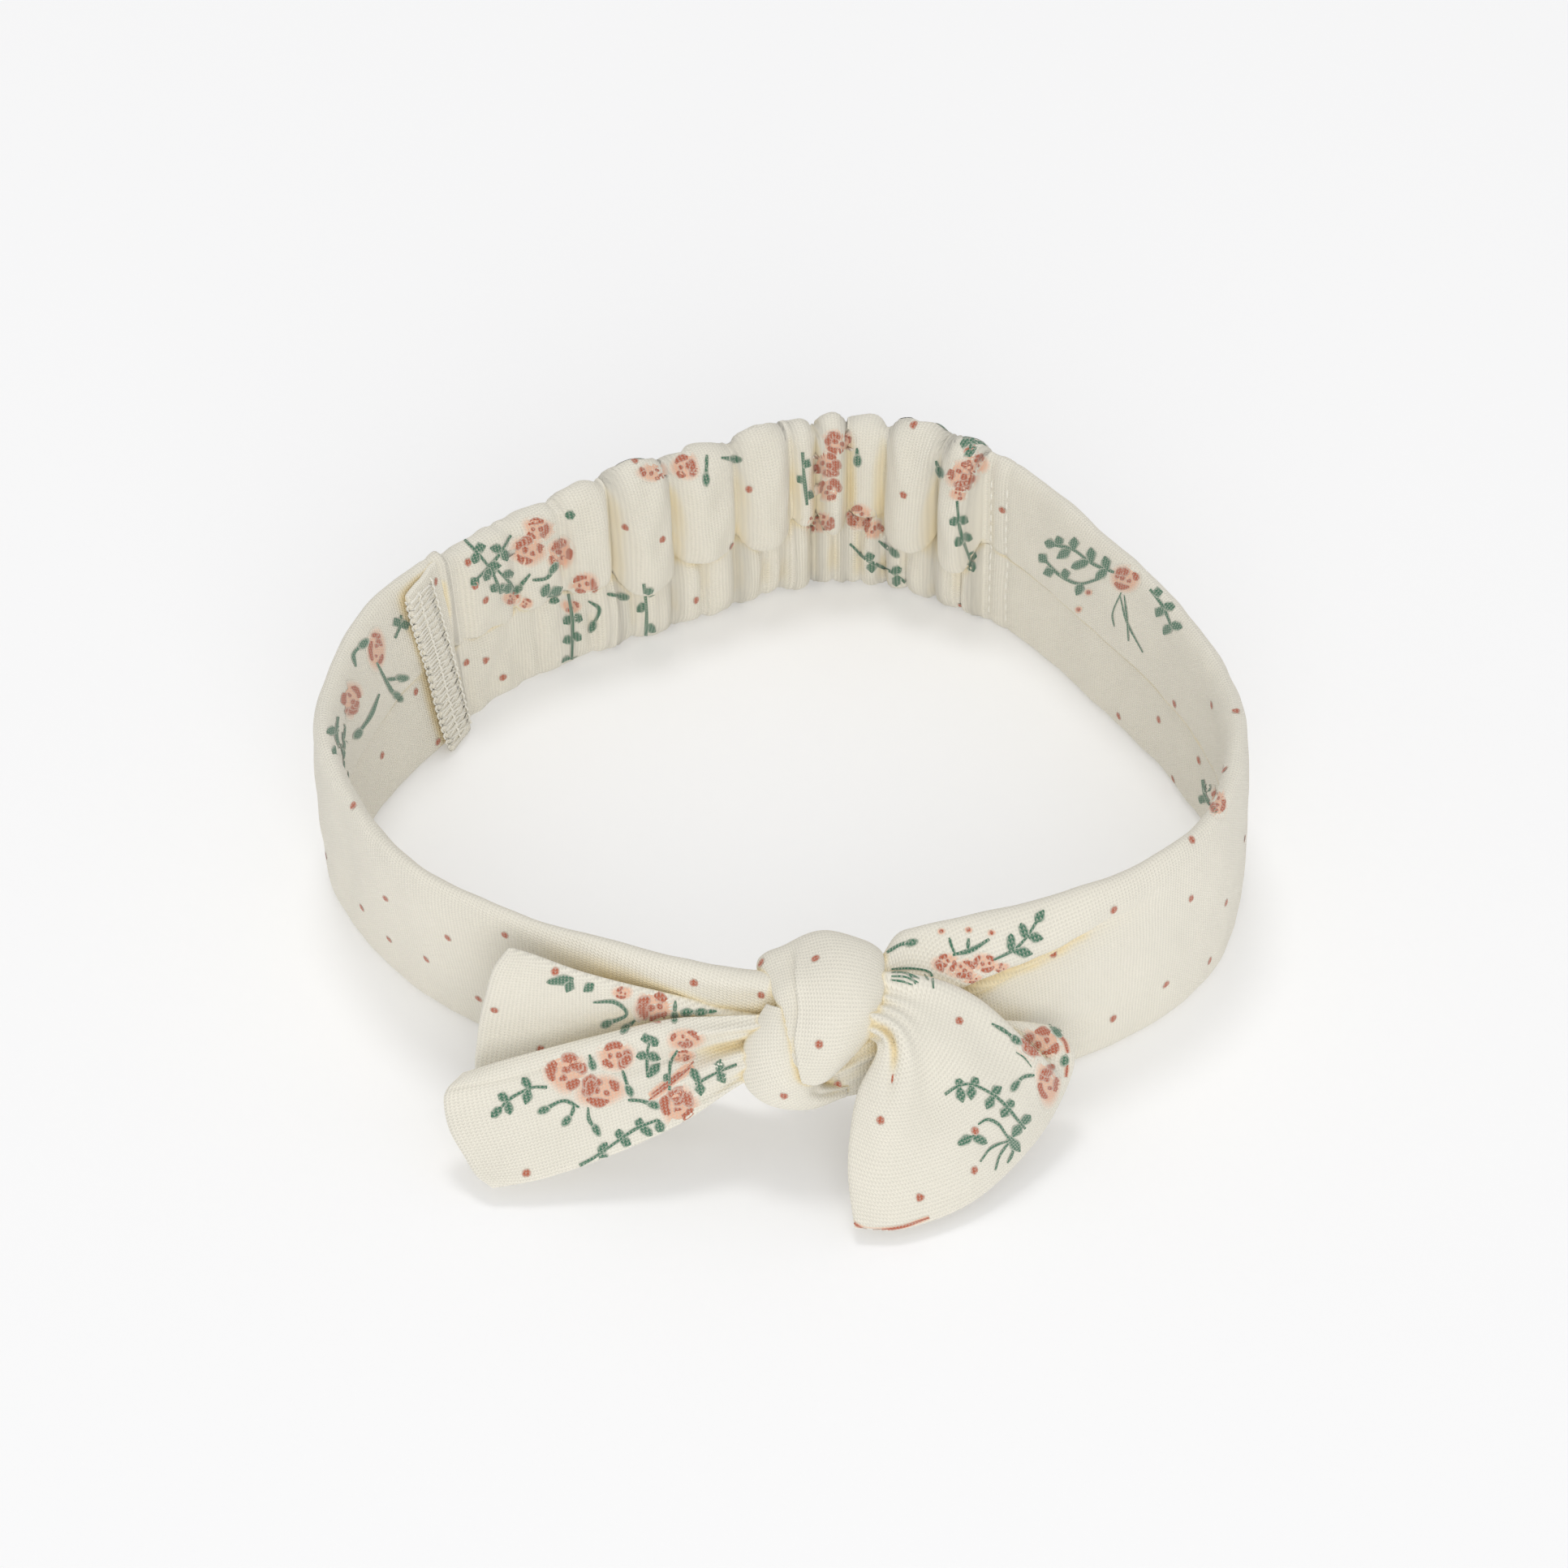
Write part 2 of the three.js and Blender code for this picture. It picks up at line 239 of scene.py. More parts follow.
# ---------------------------------------------------------------- small mathematics
def spline(points, at, closed=False):
    """Catmull-Rom curve through points (first axis), at places counted in points."""
    points = np.asarray(points, float)
    count = len(points)
    at = np.asarray(at, float)
    cell = np.floor(at).astype(int)
    if not closed:
        cell = np.clip(cell, 0, count - 2)
    t = (at - cell).reshape(at.shape + (1,) * (points.ndim - 1))

    def corner(offset):
        if closed:
            return points[(cell + offset) % count]
        inside = np.clip(cell + offset, 0, count - 1)
        beyond = ((cell + offset) - inside).reshape(t.shape)
        slope = np.where(beyond < 0, points[1] - points[0], points[-1] - points[-2])
        return points[inside] + beyond * slope

    a, b, c, d = (corner(k) for k in (-1, 0, 1, 2))
    return b + 0.5 * t * (c - a + t * (2 * a - 5 * b + 4 * c - d + t * (3 * (b - c) + d - a)))


def smooth(x, low, high):
    """0 before low and 1 after high, with a soft change between."""
    t = np.clip((np.asarray(x, float) - low) / (high - low), 0, 1)
    return t * t * (3 - 2 * t)


def bump_at(x, middle, width):
    return np.exp(-(((x - middle) / width) ** 2))


def ripple(x, y, size, seed, waves=7):
    """Smooth unevenness between about -1 and 1, with features of the given size."""
    rng = np.random.default_rng(seed)
    total = 0.0
    for _ in range(waves):
        angle = rng.uniform(0, math.pi)
        size_here = size * rng.uniform(0.7, 1.6)
        along = (x * math.cos(angle) + y * math.sin(angle)) / size_here
        total = total + np.sin(2 * math.pi * along + rng.uniform(0, 2 * math.pi))
    return total / math.sqrt(waves * 1.5)


def unit(vectors):
    return vectors / np.maximum(np.linalg.norm(vectors, axis=-1, keepdims=True), 1e-9)


# ---------------------------------------------------------------- meshes
class Cloth:
    """A surface on a grid, with its place in the flat cloth in millimetres at each point."""

    def __init__(self, points, across, along, wrap_rows=False, wrap_columns=False):
        points[..., 2] = np.maximum(points[..., 2], FLOOR_GAP)
        self.points = points
        self.across = across
        self.along = along
        self.wrap_rows = wrap_rows
        self.wrap_columns = wrap_columns
        self.normals = self.face_ways()

    def face_ways(self):
        def step(axis, wraps):
            if wraps:
                return np.roll(self.points, -1, axis) - np.roll(self.points, 1, axis)
            return np.gradient(self.points, axis=axis)
        return unit(np.cross(step(0, self.wrap_rows), step(1, self.wrap_columns)))

    def at(self, row, column, lift):
        """Points of the surface at fractional rows and columns, lifted off it."""
        rows, columns = self.points.shape[:2]
        r = np.mod(row, rows) if self.wrap_rows else np.clip(row, 0, rows - 1.001)
        c = np.mod(column, columns) if self.wrap_columns else np.clip(column, 0, columns - 1.001)
        r0, c0 = np.floor(r).astype(int), np.floor(c).astype(int)
        r1, c1 = (r0 + 1) % rows, (c0 + 1) % columns
        fr, fc = (r - r0)[..., None], (c - c0)[..., None]

        def mix(grid):
            low = grid[r0, c0] * (1 - fc) + grid[r0, c1] * fc
            high = grid[r1, c0] * (1 - fc) + grid[r1, c1] * fc
            return low * (1 - fr) + high * fr
        return mix(self.points) + np.asarray(lift)[..., None] * unit(mix(self.normals))

    def faces(self):
        rows, columns = self.points.shape[:2]
        r = np.arange(rows if self.wrap_rows else rows - 1)
        c = np.arange(columns if self.wrap_columns else columns - 1)
        r, c = np.meshgrid(r, c, indexing="ij")
        r1, c1 = (r + 1) % rows, (c + 1) % columns
        low, high = r * columns, r1 * columns
        return np.stack([low + c, high + c, high + c1, low + c1], -1).reshape(-1, 4)

    def caps(self):
        """Faces that close the two ends of a flattened tube, each from its front to its back."""
        rows, columns = self.points.shape[:2]
        strips = [(r, r + 1, (rows - r - 1) % rows, (rows - r) % rows) for r in range(rows // 2)]
        root = [list(dict.fromkeys(r * columns for r in strip)) for strip in strips]
        free = [[corner + columns - 1 for corner in face[::-1]] for face in root]
        return [face[::-1] for face in root + free]

    def flat(self):
        return np.stack([self.along, self.across, np.zeros_like(self.along)], -1)

    def mesh(self, name, material, tree):
        faces = self.faces().tolist()
        if not self.wrap_columns:
            faces += self.caps()
        obj = mesh_object(name, self.points.reshape(-1, 3), faces, material)
        store_cloth_place(obj, self.flat().reshape(-1, 3))
        store_number(obj, "nook", self.nooks(tree))
        return obj

    def nooks(self, tree):
        """How deep in a crease each point lies, from 0 to 1: how soon rays that leave it meet cloth."""
        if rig.quick():
            return np.zeros(self.points.shape[:2])
        found = np.zeros(self.points[::2, ::2].shape[:2])
        for (r, c), _ in np.ndenumerate(found):
            way = self.normals[2 * r, 2 * c]
            start = Vector(self.points[2 * r, 2 * c] + NOOK_START * way)
            for ray in NOOK_RAYS:
                length = tree.ray_cast(start, Vector(ray + NOOK_LEAN * way), NOOK_REACH)[3]
                if length is not None:
                    found[r, c] += (1 - length / NOOK_REACH) / len(NOOK_RAYS)
        rows, columns = self.points.shape[:2]
        return spread_out(found, rows, columns)


def spread_out(grid, rows, columns):
    """A grid of every second value, filled in and softened to the full size."""
    full = spline(spline(grid, np.arange(rows) / 2).swapaxes(0, 1), np.arange(columns) / 2).swapaxes(0, 1)
    for axis in (0, 1):
        full = 0.5 * full + 0.25 * (np.roll(full, 1, axis) + np.roll(full, -1, axis))
    return np.clip(full, 0, 1)


def add_object(name, data):
    obj = bpy.data.objects.new(name, data)
    bpy.context.collection.objects.link(obj)
    return obj


def mesh_object(name, points, faces, material):
    """A smooth mesh object in the row frame from design-frame points."""
    data = bpy.data.meshes.new(name)
    data.from_pydata(((points + LOOP_SHIFT) * MM).tolist(), [], [list(map(int, f)) for f in faces])
    data.polygons.foreach_set("use_smooth", [True] * len(data.polygons))
    data.materials.append(material)
    data.update()
    return add_object(name, data)


def store_cloth_place(obj, flat):
    attribute = obj.data.attributes.new("cloth", "FLOAT_VECTOR", "POINT")
    attribute.data.foreach_set("vector", np.asarray(flat, np.float32).ravel())


def store_number(obj, name, values):
    attribute = obj.data.attributes.new(name, "FLOAT", "POINT")
    attribute.data.foreach_set("value", values.astype(np.float32).ravel())


# ---------------------------------------------------------------- materials
CREAM = (0.94, 0.895, 0.775)
CREASE = (1.0, 0.86, 0.56)
PEACH = (0.93, 0.56, 0.39)
RUST = (0.53, 0.135, 0.07)
GREEN = (0.07, 0.20, 0.125)
THREAD_COLOUR = (0.96, 0.93, 0.84)
ELASTIC_COLOUR = (0.9, 0.88, 0.82)


def new_material(name):
    """A material, with functions that fill a node's inputs, make a node and do a sum by a node."""
    material = bpy.data.materials.new(name)
    material.use_nodes = True
    nodes, links = material.node_tree.nodes, material.node_tree.links

    def fill(node, inputs):
        for key, value in inputs.items():
            if isinstance(value, bpy.types.NodeSocket):
                links.new(value, node.inputs[key])
            else:
                node.inputs[key].default_value = value

    def make(kind, inputs=(), **settings):
        node = nodes.new("ShaderNode" + kind)
        for key, value in settings.items():
            setattr(node, key, value)
        fill(node, dict(inputs))
        return node

    def calc(operation, *values):
        return make("Math", dict(enumerate(values)), operation=operation).outputs[0]
    return material, fill, make, calc


def jersey(name, colour=None, ink=False):
    """Interlock jersey: rows of small V stitches, a soft sheen and a slightly uneven colour."""
    material, fill, make, calc = new_material(name)
    place = make("Attribute", attribute_name="cloth").outputs["Vector"]
    axes = make("SeparateXYZ", {0: place}).outputs
    along, across = axes[0], axes[1]
    # Each wale is a column of V stitches: the two legs of a V slant towards its middle.
    column = calc("FRACT", calc("DIVIDE", along, WALE))
    from_middle = calc("ABSOLUTE", calc("SUBTRACT", column, 0.5))
    slanted = calc("MULTIPLY_ADD", from_middle, 1.3, calc("DIVIDE", across, COURSE))
    leg = calc("SINE", calc("MULTIPLY", slanted, 2 * math.pi))
    groove = calc("COSINE", calc("MULTIPLY", column, 2 * math.pi))
    stitch = calc("MULTIPLY_ADD", groove, -0.55, calc("MULTIPLY", leg, 0.6))
    fuzz = make("TexNoise", {"Vector": place, "Scale": 2.6, "Detail": 4.0, "Roughness": 0.65})
    relief = calc("MULTIPLY_ADD", fuzz.outputs[0], 1.1, stitch)
    bump = make("Bump", {"Height": relief, "Strength": 0.6, "Distance": 0.00012})
    # Between the stitches the yarn is in shade, and the dye takes a little unevenly.
    shade = make("MapRange", {"Value": stitch, 1: -1.15, 2: 0.3, 3: 0.87, 4: 1.0})
    cloud = make("TexNoise", {"Vector": place, "Scale": 0.12, "Detail": 2.0})
    uneven = make("MapRange", {"Value": cloud.outputs[0], 1: 0.3, 2: 0.7, 3: 0.975, 4: 1.0})
    tone = calc("MULTIPLY", shade.outputs[0], uneven.outputs[0])
    # Deep in a crease the light has passed from cloth to cloth and is warm.
    nook = make("Attribute", attribute_name="nook").outputs["Fac"]
    deep = make("MapRange", {"Value": nook, 1: 0.12, 2: 0.55, 3: 0.0, 4: 0.85}).outputs[0]
    base = make("Mix", {0: deep, 6: (*CREAM, 1), 7: (*CREASE, 1)}, data_type="RGBA").outputs[2]
    if ink:
        strength = make("Attribute", attribute_name="ink").outputs["Fac"]
        taken = make("MapRange", {"Value": relief, 1: -0.9, 2: 0.9, 3: 0.45, 4: 1.0}).outputs[0]
        amount = calc("MULTIPLY", strength, taken)
        base = make("Mix", {0: amount, 6: base, 7: (*colour, 1)}, data_type="RGBA").outputs[2]
    mixed = make("VectorMath", {0: base, "Scale": tone}, operation="SCALE")
    fill(material.node_tree.nodes["Principled BSDF"], {
        "Base Color": mixed.outputs[0], "Normal": bump.outputs[0], "Roughness": 0.92,
        "Specular IOR Level": 0.15, "Sheen Weight": 0.25, "Sheen Roughness": 0.5,
    })
    return material


def striped(name, colour, pitch, slant, roughness):
    """A material with fine twisted or knitted ribs across the cloth place's first value."""
    material, fill, make, calc = new_material(name)
    place = make("Attribute", attribute_name="cloth").outputs["Vector"]
    axes = make("SeparateXYZ", {0: place}).outputs
    across = calc("MULTIPLY", axes[1], slant)
    run = calc("MULTIPLY_ADD", axes[0], 2 * math.pi / pitch, across)
    rib = calc("SINE", run)
    fuzz = make("TexNoise", {"Vector": place, "Scale": 5.0, "Detail": 3.0}).outputs[0]
    relief = calc("MULTIPLY_ADD", fuzz, 0.8, rib)
    bump = make("Bump", {"Height": relief, "Strength": 0.5, "Distance": 0.00006})
    tone = make("MapRange", {"Value": relief, 1: -1.0, 2: 1.2, 3: 0.93, 4: 1.0}).outputs[0]
    mixed = make("VectorMath", {0: colour, "Scale": tone}, operation="SCALE")
    fill(material.node_tree.nodes["Principled BSDF"], {
        "Base Color": mixed.outputs[0], "Normal": bump.outputs[0], "Roughness": roughness,
        "Specular IOR Level": 0.25,
    })
    return material


CREAM_JERSEY = jersey("cream_jersey")
THREAD = striped("sewing_thread", THREAD_COLOUR, pitch=0.5, slant=1.0, roughness=0.6)
ELASTIC = striped("knitted_elastic", ELASTIC_COLOUR, pitch=1.1, slant=2.4, roughness=0.7)
PEACH_INK = jersey("peach_ink", PEACH, ink=True)
RUST_INK = jersey("rust_ink", RUST, ink=True)
GREEN_INK = jersey("green_ink", GREEN, ink=True)


# ---------------------------------------------------------------- the band tube
SPACING = 0.56        # between columns of the band's grid
ROWS = 124
BAND_GIRTH = 63.0     # round the tube: the width of the strip it is sewn from

dense = np.linspace(OVERLOCK - COUNT, OVERLOCK, 4001)
dense_edge = spline(STATIONS, dense, closed=True)
dense_length = np.concatenate([[0], np.cumsum(np.linalg.norm(np.diff(dense_edge[:, :2], axis=0), axis=1))])
LOOP_LENGTH = dense_length[-1]


def place_of(station):
    """Distance along the loop from the cross seam, in millimetres."""
    return np.interp(station, dense, dense_length)


def band_frames(lengths):
    """Lower edge, ways up and out, and height of the band at distances along the loop."""
    station = np.interp(lengths, dense_length, dense)
    here = spline(STATIONS, station, closed=True)
    ahead = spline(STATIONS, station + 0.01, closed=True) - spline(STATIONS, station - 0.01, closed=True)
    along = unit(ahead[:, :2])
    out = np.stack([along[:, 1], -along[:, 0], np.zeros(len(along))], -1)
    base = np.stack([here[:, 0], here[:, 1], np.maximum(here[:, 2], 0)], -1)
    rise = out * here[:, 4:5]
    rise[:, 2] += here[:, 3] - base[:, 2]
    return station, base, out, unit(rise), np.linalg.norm(rise, axis=1)


# Big folds of the casing's upper inner half: the two stations between which each one lies, how far it stands
# inwards, and how far it hangs over the seam.
UPPER_FOLDS = [
    (7.1, 7.38, 3.0, 5.0), (7.38, 7.74, 3.4, 3.6), (7.74, 7.99, 1.4, 0.2), (7.99, 8.2, 2.9, 2.4),
    (8.2, 8.36, 1.8, 1.2), (8.36, 8.68, 2.7, 3.2), (8.68, 9.06, 2.4, 2.2), (9.06, 9.42, 3.2, 3.8),
    (9.42, 9.72, 1.8, 0.8), (9.72, 10.05, 0.9, 0.0), (10.05, 10.42, 0.6, 0.0),
]
LOWER_FOLDS = [
    (7.1, 7.24, 1.2), (7.24, 7.42, 1.7), (7.42, 7.6, 1.5), (7.6, 7.74, 1.2), (7.74, 7.9, 1.6),
    (7.9, 8.08, 1.3), (8.08, 8.22, 1.0), (8.22, 8.4, 1.5), (8.4, 8.52, 1.0), (8.52, 8.68, 1.5),
    (8.68, 8.88, 1.7), (8.88, 9.06, 1.4), (9.06, 9.3, 1.7), (9.3, 9.55, 1.2), (9.55, 9.9, 0.6),
]
OUTER_FOLDS = [
    (7.1, 7.3, 1.4), (7.3, 7.56, 2.2), (7.56, 7.76, 1.6), (7.76, 8.02, 2.4), (8.02, 8.2, 1.5),
    (8.2, 8.48, 2.3), (8.48, 8.66, 1.4), (8.66, 8.94, 2.3), (8.94, 9.16, 1.7), (9.16, 9.46, 2.3),
    (9.46, 9.74, 1.5), (9.74, 10.1, 1.1), (10.1, 10.45, 0.6),
]


def fold_profile(station, folds, column=2):
    """Round-backed folds with sharp creases between them. column picks the value that scales each fold."""
    total = np.zeros_like(station)
    for fold in folds:
        t = (station - fold[0]) / (fold[1] - fold[0])
        inside = (t > 0) & (t < 1)
        arch = np.clip(1 - np.abs(2 * t - 1) ** 2.4, 0, 1) ** 0.6
        total = np.where(inside, fold[column] * arch, total)
    return total


def creases(station, folds):
    """1 at the narrow creases between folds."""
    edges = sorted({edge for fold in folds for edge in fold[:2]})
    return sum(bump_at(station, edge, 0.032) for edge in edges)


def band_tube():
    """The whole tube as one closed surface, seam side in."""
    columns = int(round(LOOP_LENGTH / SPACING))
    lengths = np.arange(columns) * LOOP_LENGTH / columns
    station, base, out, up, height = band_frames(lengths)
    turn = np.mod(station, COUNT)
    gathered = smooth(station, ANCHOR_ROW, ANCHOR_ROW + 0.06) * (1 - smooth(station, *GATHERS_END))
    near_knot = np.minimum(np.abs(lengths - place_of(0.05)), LOOP_LENGTH)
    pinch = 1 - smooth(near_knot, 4, 46)

    upper = 1.35 * fold_profile(station, UPPER_FOLDS) - 0.7 * creases(station, UPPER_FOLDS)
    lower = 1.15 * fold_profile(station, LOWER_FOLDS) - 0.5 * creases(station, LOWER_FOLDS)
    outer = 1.15 * fold_profile(station, OUTER_FOLDS) - 0.6 * creases(station, OUTER_FOLDS)
    droop = fold_profile(station, UPPER_FOLDS, 3) * gathered + 0.5 * smooth(height, 20, 29)
    scallop = (0.9 - 0.55 * fold_profile(station, LOWER_FOLDS)) * gathered
    crown = (0.85 * np.maximum(upper, 0.8 * outer) - 2.3) * gathered

    puff = 0.55 * smooth(station, 4.2, 6.5) * (1 - smooth(station, 6.6, 7.1))
    puff = puff + 0.7 * smooth(turn, 10.8, 11.4) * (1 - smooth(turn, 12.6, 13.6))
    mid = 0.5 * height
    inner_wall = 1.6 + 0.3 * gathered
    outer_wall = 1.75 + 0.15 * gathered
    sections = [
        (-0.9 - 0 * mid, mid + 0.2),
        (-1.5 - 0.45 * upper - 0.5 * puff, mid - 0.45 - 0.9 * droop),
        (-inner_wall - 0.9 * upper - puff, mid + 0.8 - 0.9 * droop),
        (-inner_wall - 1.0 * upper - puff, mid + 0.16 * height - 0.3 * droop),
        (-inner_wall - 0.75 * upper - 0.6 * puff, 0.8 * height),
        (-1.35 - 0.45 * upper, 0.945 * height + 0.3 * crown),
        (0.1 * (outer - upper), height - 0.1 + 0.8 * crown),
        (1.3 + 0.45 * outer, 0.95 * height + 0.3 * crown),
        (outer_wall + 0.8 * outer, 0.82 * height),
        (outer_wall + 0.25 + 1.0 * outer, 0.5 * height),
        (outer_wall + 0.8 * outer, 0.16 * height),
        (1.25 + 0.4 * outer, 0.035 * height + 0.8 * scallop),
        (0.0 + 0 * mid, 0.0 + scallop),
        (-1.25 - 0.45 * lower, 0.03 * height + scallop),
        (-1.55 - 0.95 * lower, 0.14 * height),
        (-1.45 - 0.85 * lower, 0.33 * height),
        (-1.25 - 0.4 * lower, mid - 0.9),
    ]
    corners = np.stack([np.stack(pair, -1) for pair in sections])
    fine = spline(corners, np.linspace(0, len(sections), 241), closed=True)
    lengths_round = running_length(fine, 0)
    share = np.arange(ROWS) / ROWS
    outline = np.empty((ROWS, columns, 2))
    across = np.empty((ROWS, columns))
    for c in range(columns):
        across[:, c] = share * lengths_round[-1, c]
        for k in (0, 1):
            outline[:, c, k] = np.interp(across[:, c], lengths_round[:, c], fine[:, c, k])

    side = outline[..., 0]
    level = outline[..., 1] / height
    s = np.broadcast_to(lengths, side.shape)
    face = np.tanh(side / 0.8)
    # Long pleats that run out of the knot, deep at the knot and gone some 45 mm away.
    away = np.broadcast_to(near_knot, side.shape)
    right = np.broadcast_to(np.where((turn > 0) & (turn < 8), 1.0, 0.0), side.shape)
    valley = 0.68 + 0.0038 * away
    step = np.tanh((level - valley) / 0.035)
    pleat = right * (2.0 * step * bump_at(level, valley, 0.16) - 1.7 * bump_at(level, valley - 0.03, 0.035))
    second = 0.42 - 0.004 * away
    pleat = pleat - 0.7 * bump_at(level, second, 0.05) + 0.4 * bump_at(level, second + 0.12, 0.08)
    valley_left = 0.62 + 0.004 * away
    overhang = 0.7 * np.tanh((level - valley_left) / 0.05) * bump_at(level, valley_left, 0.25)
    pleat = pleat + (1 - right) * (overhang - 0.7 * bump_at(level, valley_left - 0.03, 0.045))
    fine_pleats = np.sin(2 * math.pi * (5.2 * level + 0.6 * np.sin(0.05 * away))) * np.exp(-away / 13)
    # Right of the knot the pleats run out more slowly.
    drawn = np.maximum(pinch, right * (1 - smooth(away, 24, 48)))
    side = side + face * (1.25 * drawn * pleat + 0.35 * pinch * fine_pleats)
    # Right of the knot the upper part is rolled back, so that it faces up.
    rolled = right * pinch * smooth(away, 3, 12)
    side = side - 6.0 * rolled * smooth(level, 0.66, 1.02)
    # Small unevenness of soft cloth.
    soft = 0.14 * ripple(s, across, 13, 3) + 0.07 * ripple(s, across, 5, 4)
    crimp = 0.3 * ripple(s * 2.6, across, 11, 5) * gathered
    from_seam = np.mod(s - SEAM_SLANT * (level - 0.5) + LOOP_LENGTH / 2, LOOP_LENGTH) - LOOP_LENGTH / 2
    seam_dip = 0.5 * bump_at(from_seam, 0, 0.7)
    stitch_row = place_of(ANCHOR_ROW) + ANCHOR_SHIFTS[0]
    second_row = place_of(ANCHOR_ROW) + ANCHOR_SHIFTS[1]
    row_dip = 0.55 * bump_at(s, stitch_row, 0.6) + 0.35 * bump_at(s, second_row, 0.5)
    side = side + face * (soft + crimp - seam_dip - row_dip)
    rise = outline[..., 1] + 0.25 * ripple(s, across, 17, 6) * smooth(level, 0.05, 0.2)
    rise = np.maximum(rise, 0)
    points = base[None] + side[..., None] * out[None] + rise[..., None] * up[None]
    return Cloth(points, across, s, wrap_rows=True, wrap_columns=True)


# ---------------------------------------------------------------- the tie: knot and tails
def pillow(rails, rows, columns, half, rim, tip=0.0, sink=0.0, relief=None):
    """A flattened tube of cloth. Rails lie side by side and run from the knot to the free end.

    half is half its thickness, rim how far in from its sides it reaches that, and tip the same for its free
    end. sink 1 makes the rails its outer face instead of its middle.
    """
    rails = np.asarray(rails, float)
    v = (1 - np.cos(np.linspace(0, math.pi, rows))) / 2
    t = np.linspace(0, 1, columns)
    u = np.sin(t * math.pi / 2) if tip else t
    wide = spline(rails, v * (len(rails) - 1))
    sheet = spline(wide.swapaxes(0, 1), u * (rails.shape[1] - 1)).swapaxes(0, 1)
    normal = unit(np.cross(np.gradient(sheet, axis=0), np.gradient(sheet, axis=1)))
    across = running_length(sheet, 0)
    along = running_length(sheet, 1)
    side = np.minimum(across, across[-1] - across)
    thick = half * roundness(side, rim)
    if tip:
        thick = thick * roundness(along[:, -1:] - along, tip)
    station = u * (rails.shape[1] - 1)
    place = v * (len(rails) - 1)
    lift = relief(*np.meshgrid(station, place)) if relief else 0 * thick
    middle = sheet + normal * (lift - sink * half)[..., None]
    front = middle + normal * thick[..., None]
    back = (middle - normal * thick[..., None])[-2:0:-1]
    across = across - across[-1] / 2
    along = np.broadcast_to(along.mean(axis=0), along.shape)
    return Cloth(
        np.concatenate([front, back]),
        np.concatenate([across, across[-2:0:-1]]),
        np.concatenate([along, along[-2:0:-1]]),
        wrap_rows=True,
    )


def running_length(points, axis):
    steps = np.linalg.norm(np.diff(points, axis=axis), axis=2)
    return np.concatenate([np.zeros_like(np.take(steps, [0], axis)), np.cumsum(steps, axis=axis)], axis)


def roundness(inside, radius):
    """Height of a rounded edge, as a share, at a distance inside it."""
    return np.sqrt(1 - (1 - np.clip(inside / radius, 0, 1)) ** 2)


def between(first, last, count, ends):
    """Rails evenly between two, each closed by its own point of the free end."""
    share = np.linspace(0, 1, count)[:, None, None]
    rails = np.asarray(first, float)[None] * (1 - share) + np.asarray(last, float)[None] * share
    return np.concatenate([rails, np.asarray(ends, float)[:, None]], axis=1)


def soft_folds(station, place, size, depth, seed, start=0.0, end=99.0):
    """Small unevenness that fades out before start and after end stations."""
    keep = smooth(station, start - 0.3, start + 0.3) * (1 - smooth(station, end - 0.3, end + 0.3))
    return depth * ripple(station * 5, place * 4, size, seed) * keep


def left_lower_ear():
    top = [(-2, -60.6, 21.8), (-9, -59.7, 20.8), (-16, -59.4, 19.8), (-26, -60, 17.2), (-36, -61, 14.6)]
    bottom = [(-2, -63.4, 15.5), (-7.2, -65.4, 13.0), (-14, -68.6, 9.8), (-23, -71.0, 6.4), (-32, -72.5, 3.6)]
    ends = [
        (-38.6, -73.1, 2.5), (-40.8, -71.6, 3.4), (-42.5, -69.6, 5.2), (-44.2, -67.4, 7.2),
        (-45, -65.2, 9.0), (-44.8, -63.4, 10.8), (-42.6, -62.0, 12.8),
    ]
    rails = between(bottom, top, 7, ends)

    def relief(station, place):
        near = 1 - smooth(station, 0.8, 3.2)
        crease = 3.35 + 0.16 * station
        valley = -2.6 * near * np.exp(-np.abs(place - crease) / 0.42)
        upper_roll = 1.1 * near * bump_at(place, crease + 1.35, 0.8)
        lower_roll = 1.0 * near * bump_at(place, crease - 1.5, 1.0)
        fine = 0.4 * near * np.sin(place * 5.2 + station)
        rolled_top = 0.45 * bump_at(place, 5.4, 0.5) * smooth(station, 0.6, 2.0)
        seam = -0.3 * bump_at(place, 5.0, 0.12) * smooth(station, 2.2, 3.2)
        uneven = soft_folds(station, place, 9, 0.22, 21)
        return valley + upper_roll + lower_roll + fine + rolled_top + seam + uneven
    return pillow(rails, 64, 96, 1.0, 1.3, tip=1.3, relief=relief)


def left_upper_ear():
    top = [(-2, -57.6, 20), (-9.6, -57.4, 20.6), (-18, -56.8, 22.6), (-26.6, -56.0, 25.0), (-33, -55.0, 27.0)]
    bottom = [(-2, -58.4, 17), (-9.6, -58.2, 14), (-18, -58.2, 10.5), (-27, -57.6, 7.8), (-35, -57.2, 6.4)]
    ends = [
        (-40.2, -57.2, 6.2), (-41.3, -56.6, 8.6), (-41.1, -56, 12), (-40.6, -55.6, 16),
        (-39.6, -55.2, 20.5), (-38.4, -54.8, 25), (-36.4, -54.5, 27.9),
    ]
    rails = between(bottom, top, 7, ends)

    def relief(station, place):
        near = 1 - smooth(station, 0.5, 3.4)
        hollow = -1.0 * bump_at(place, 2.6, 1.0) * smooth(station, 1.0, 3.0)
        pleats = near * 0.6 * np.sin(place * 2.6 + 0.5)
        return hollow + pleats + soft_folds(station, place, 10, 0.25, 22)
    return pillow(rails, 56, 90, 0.95, 1.3, tip=1.3, relief=relief)


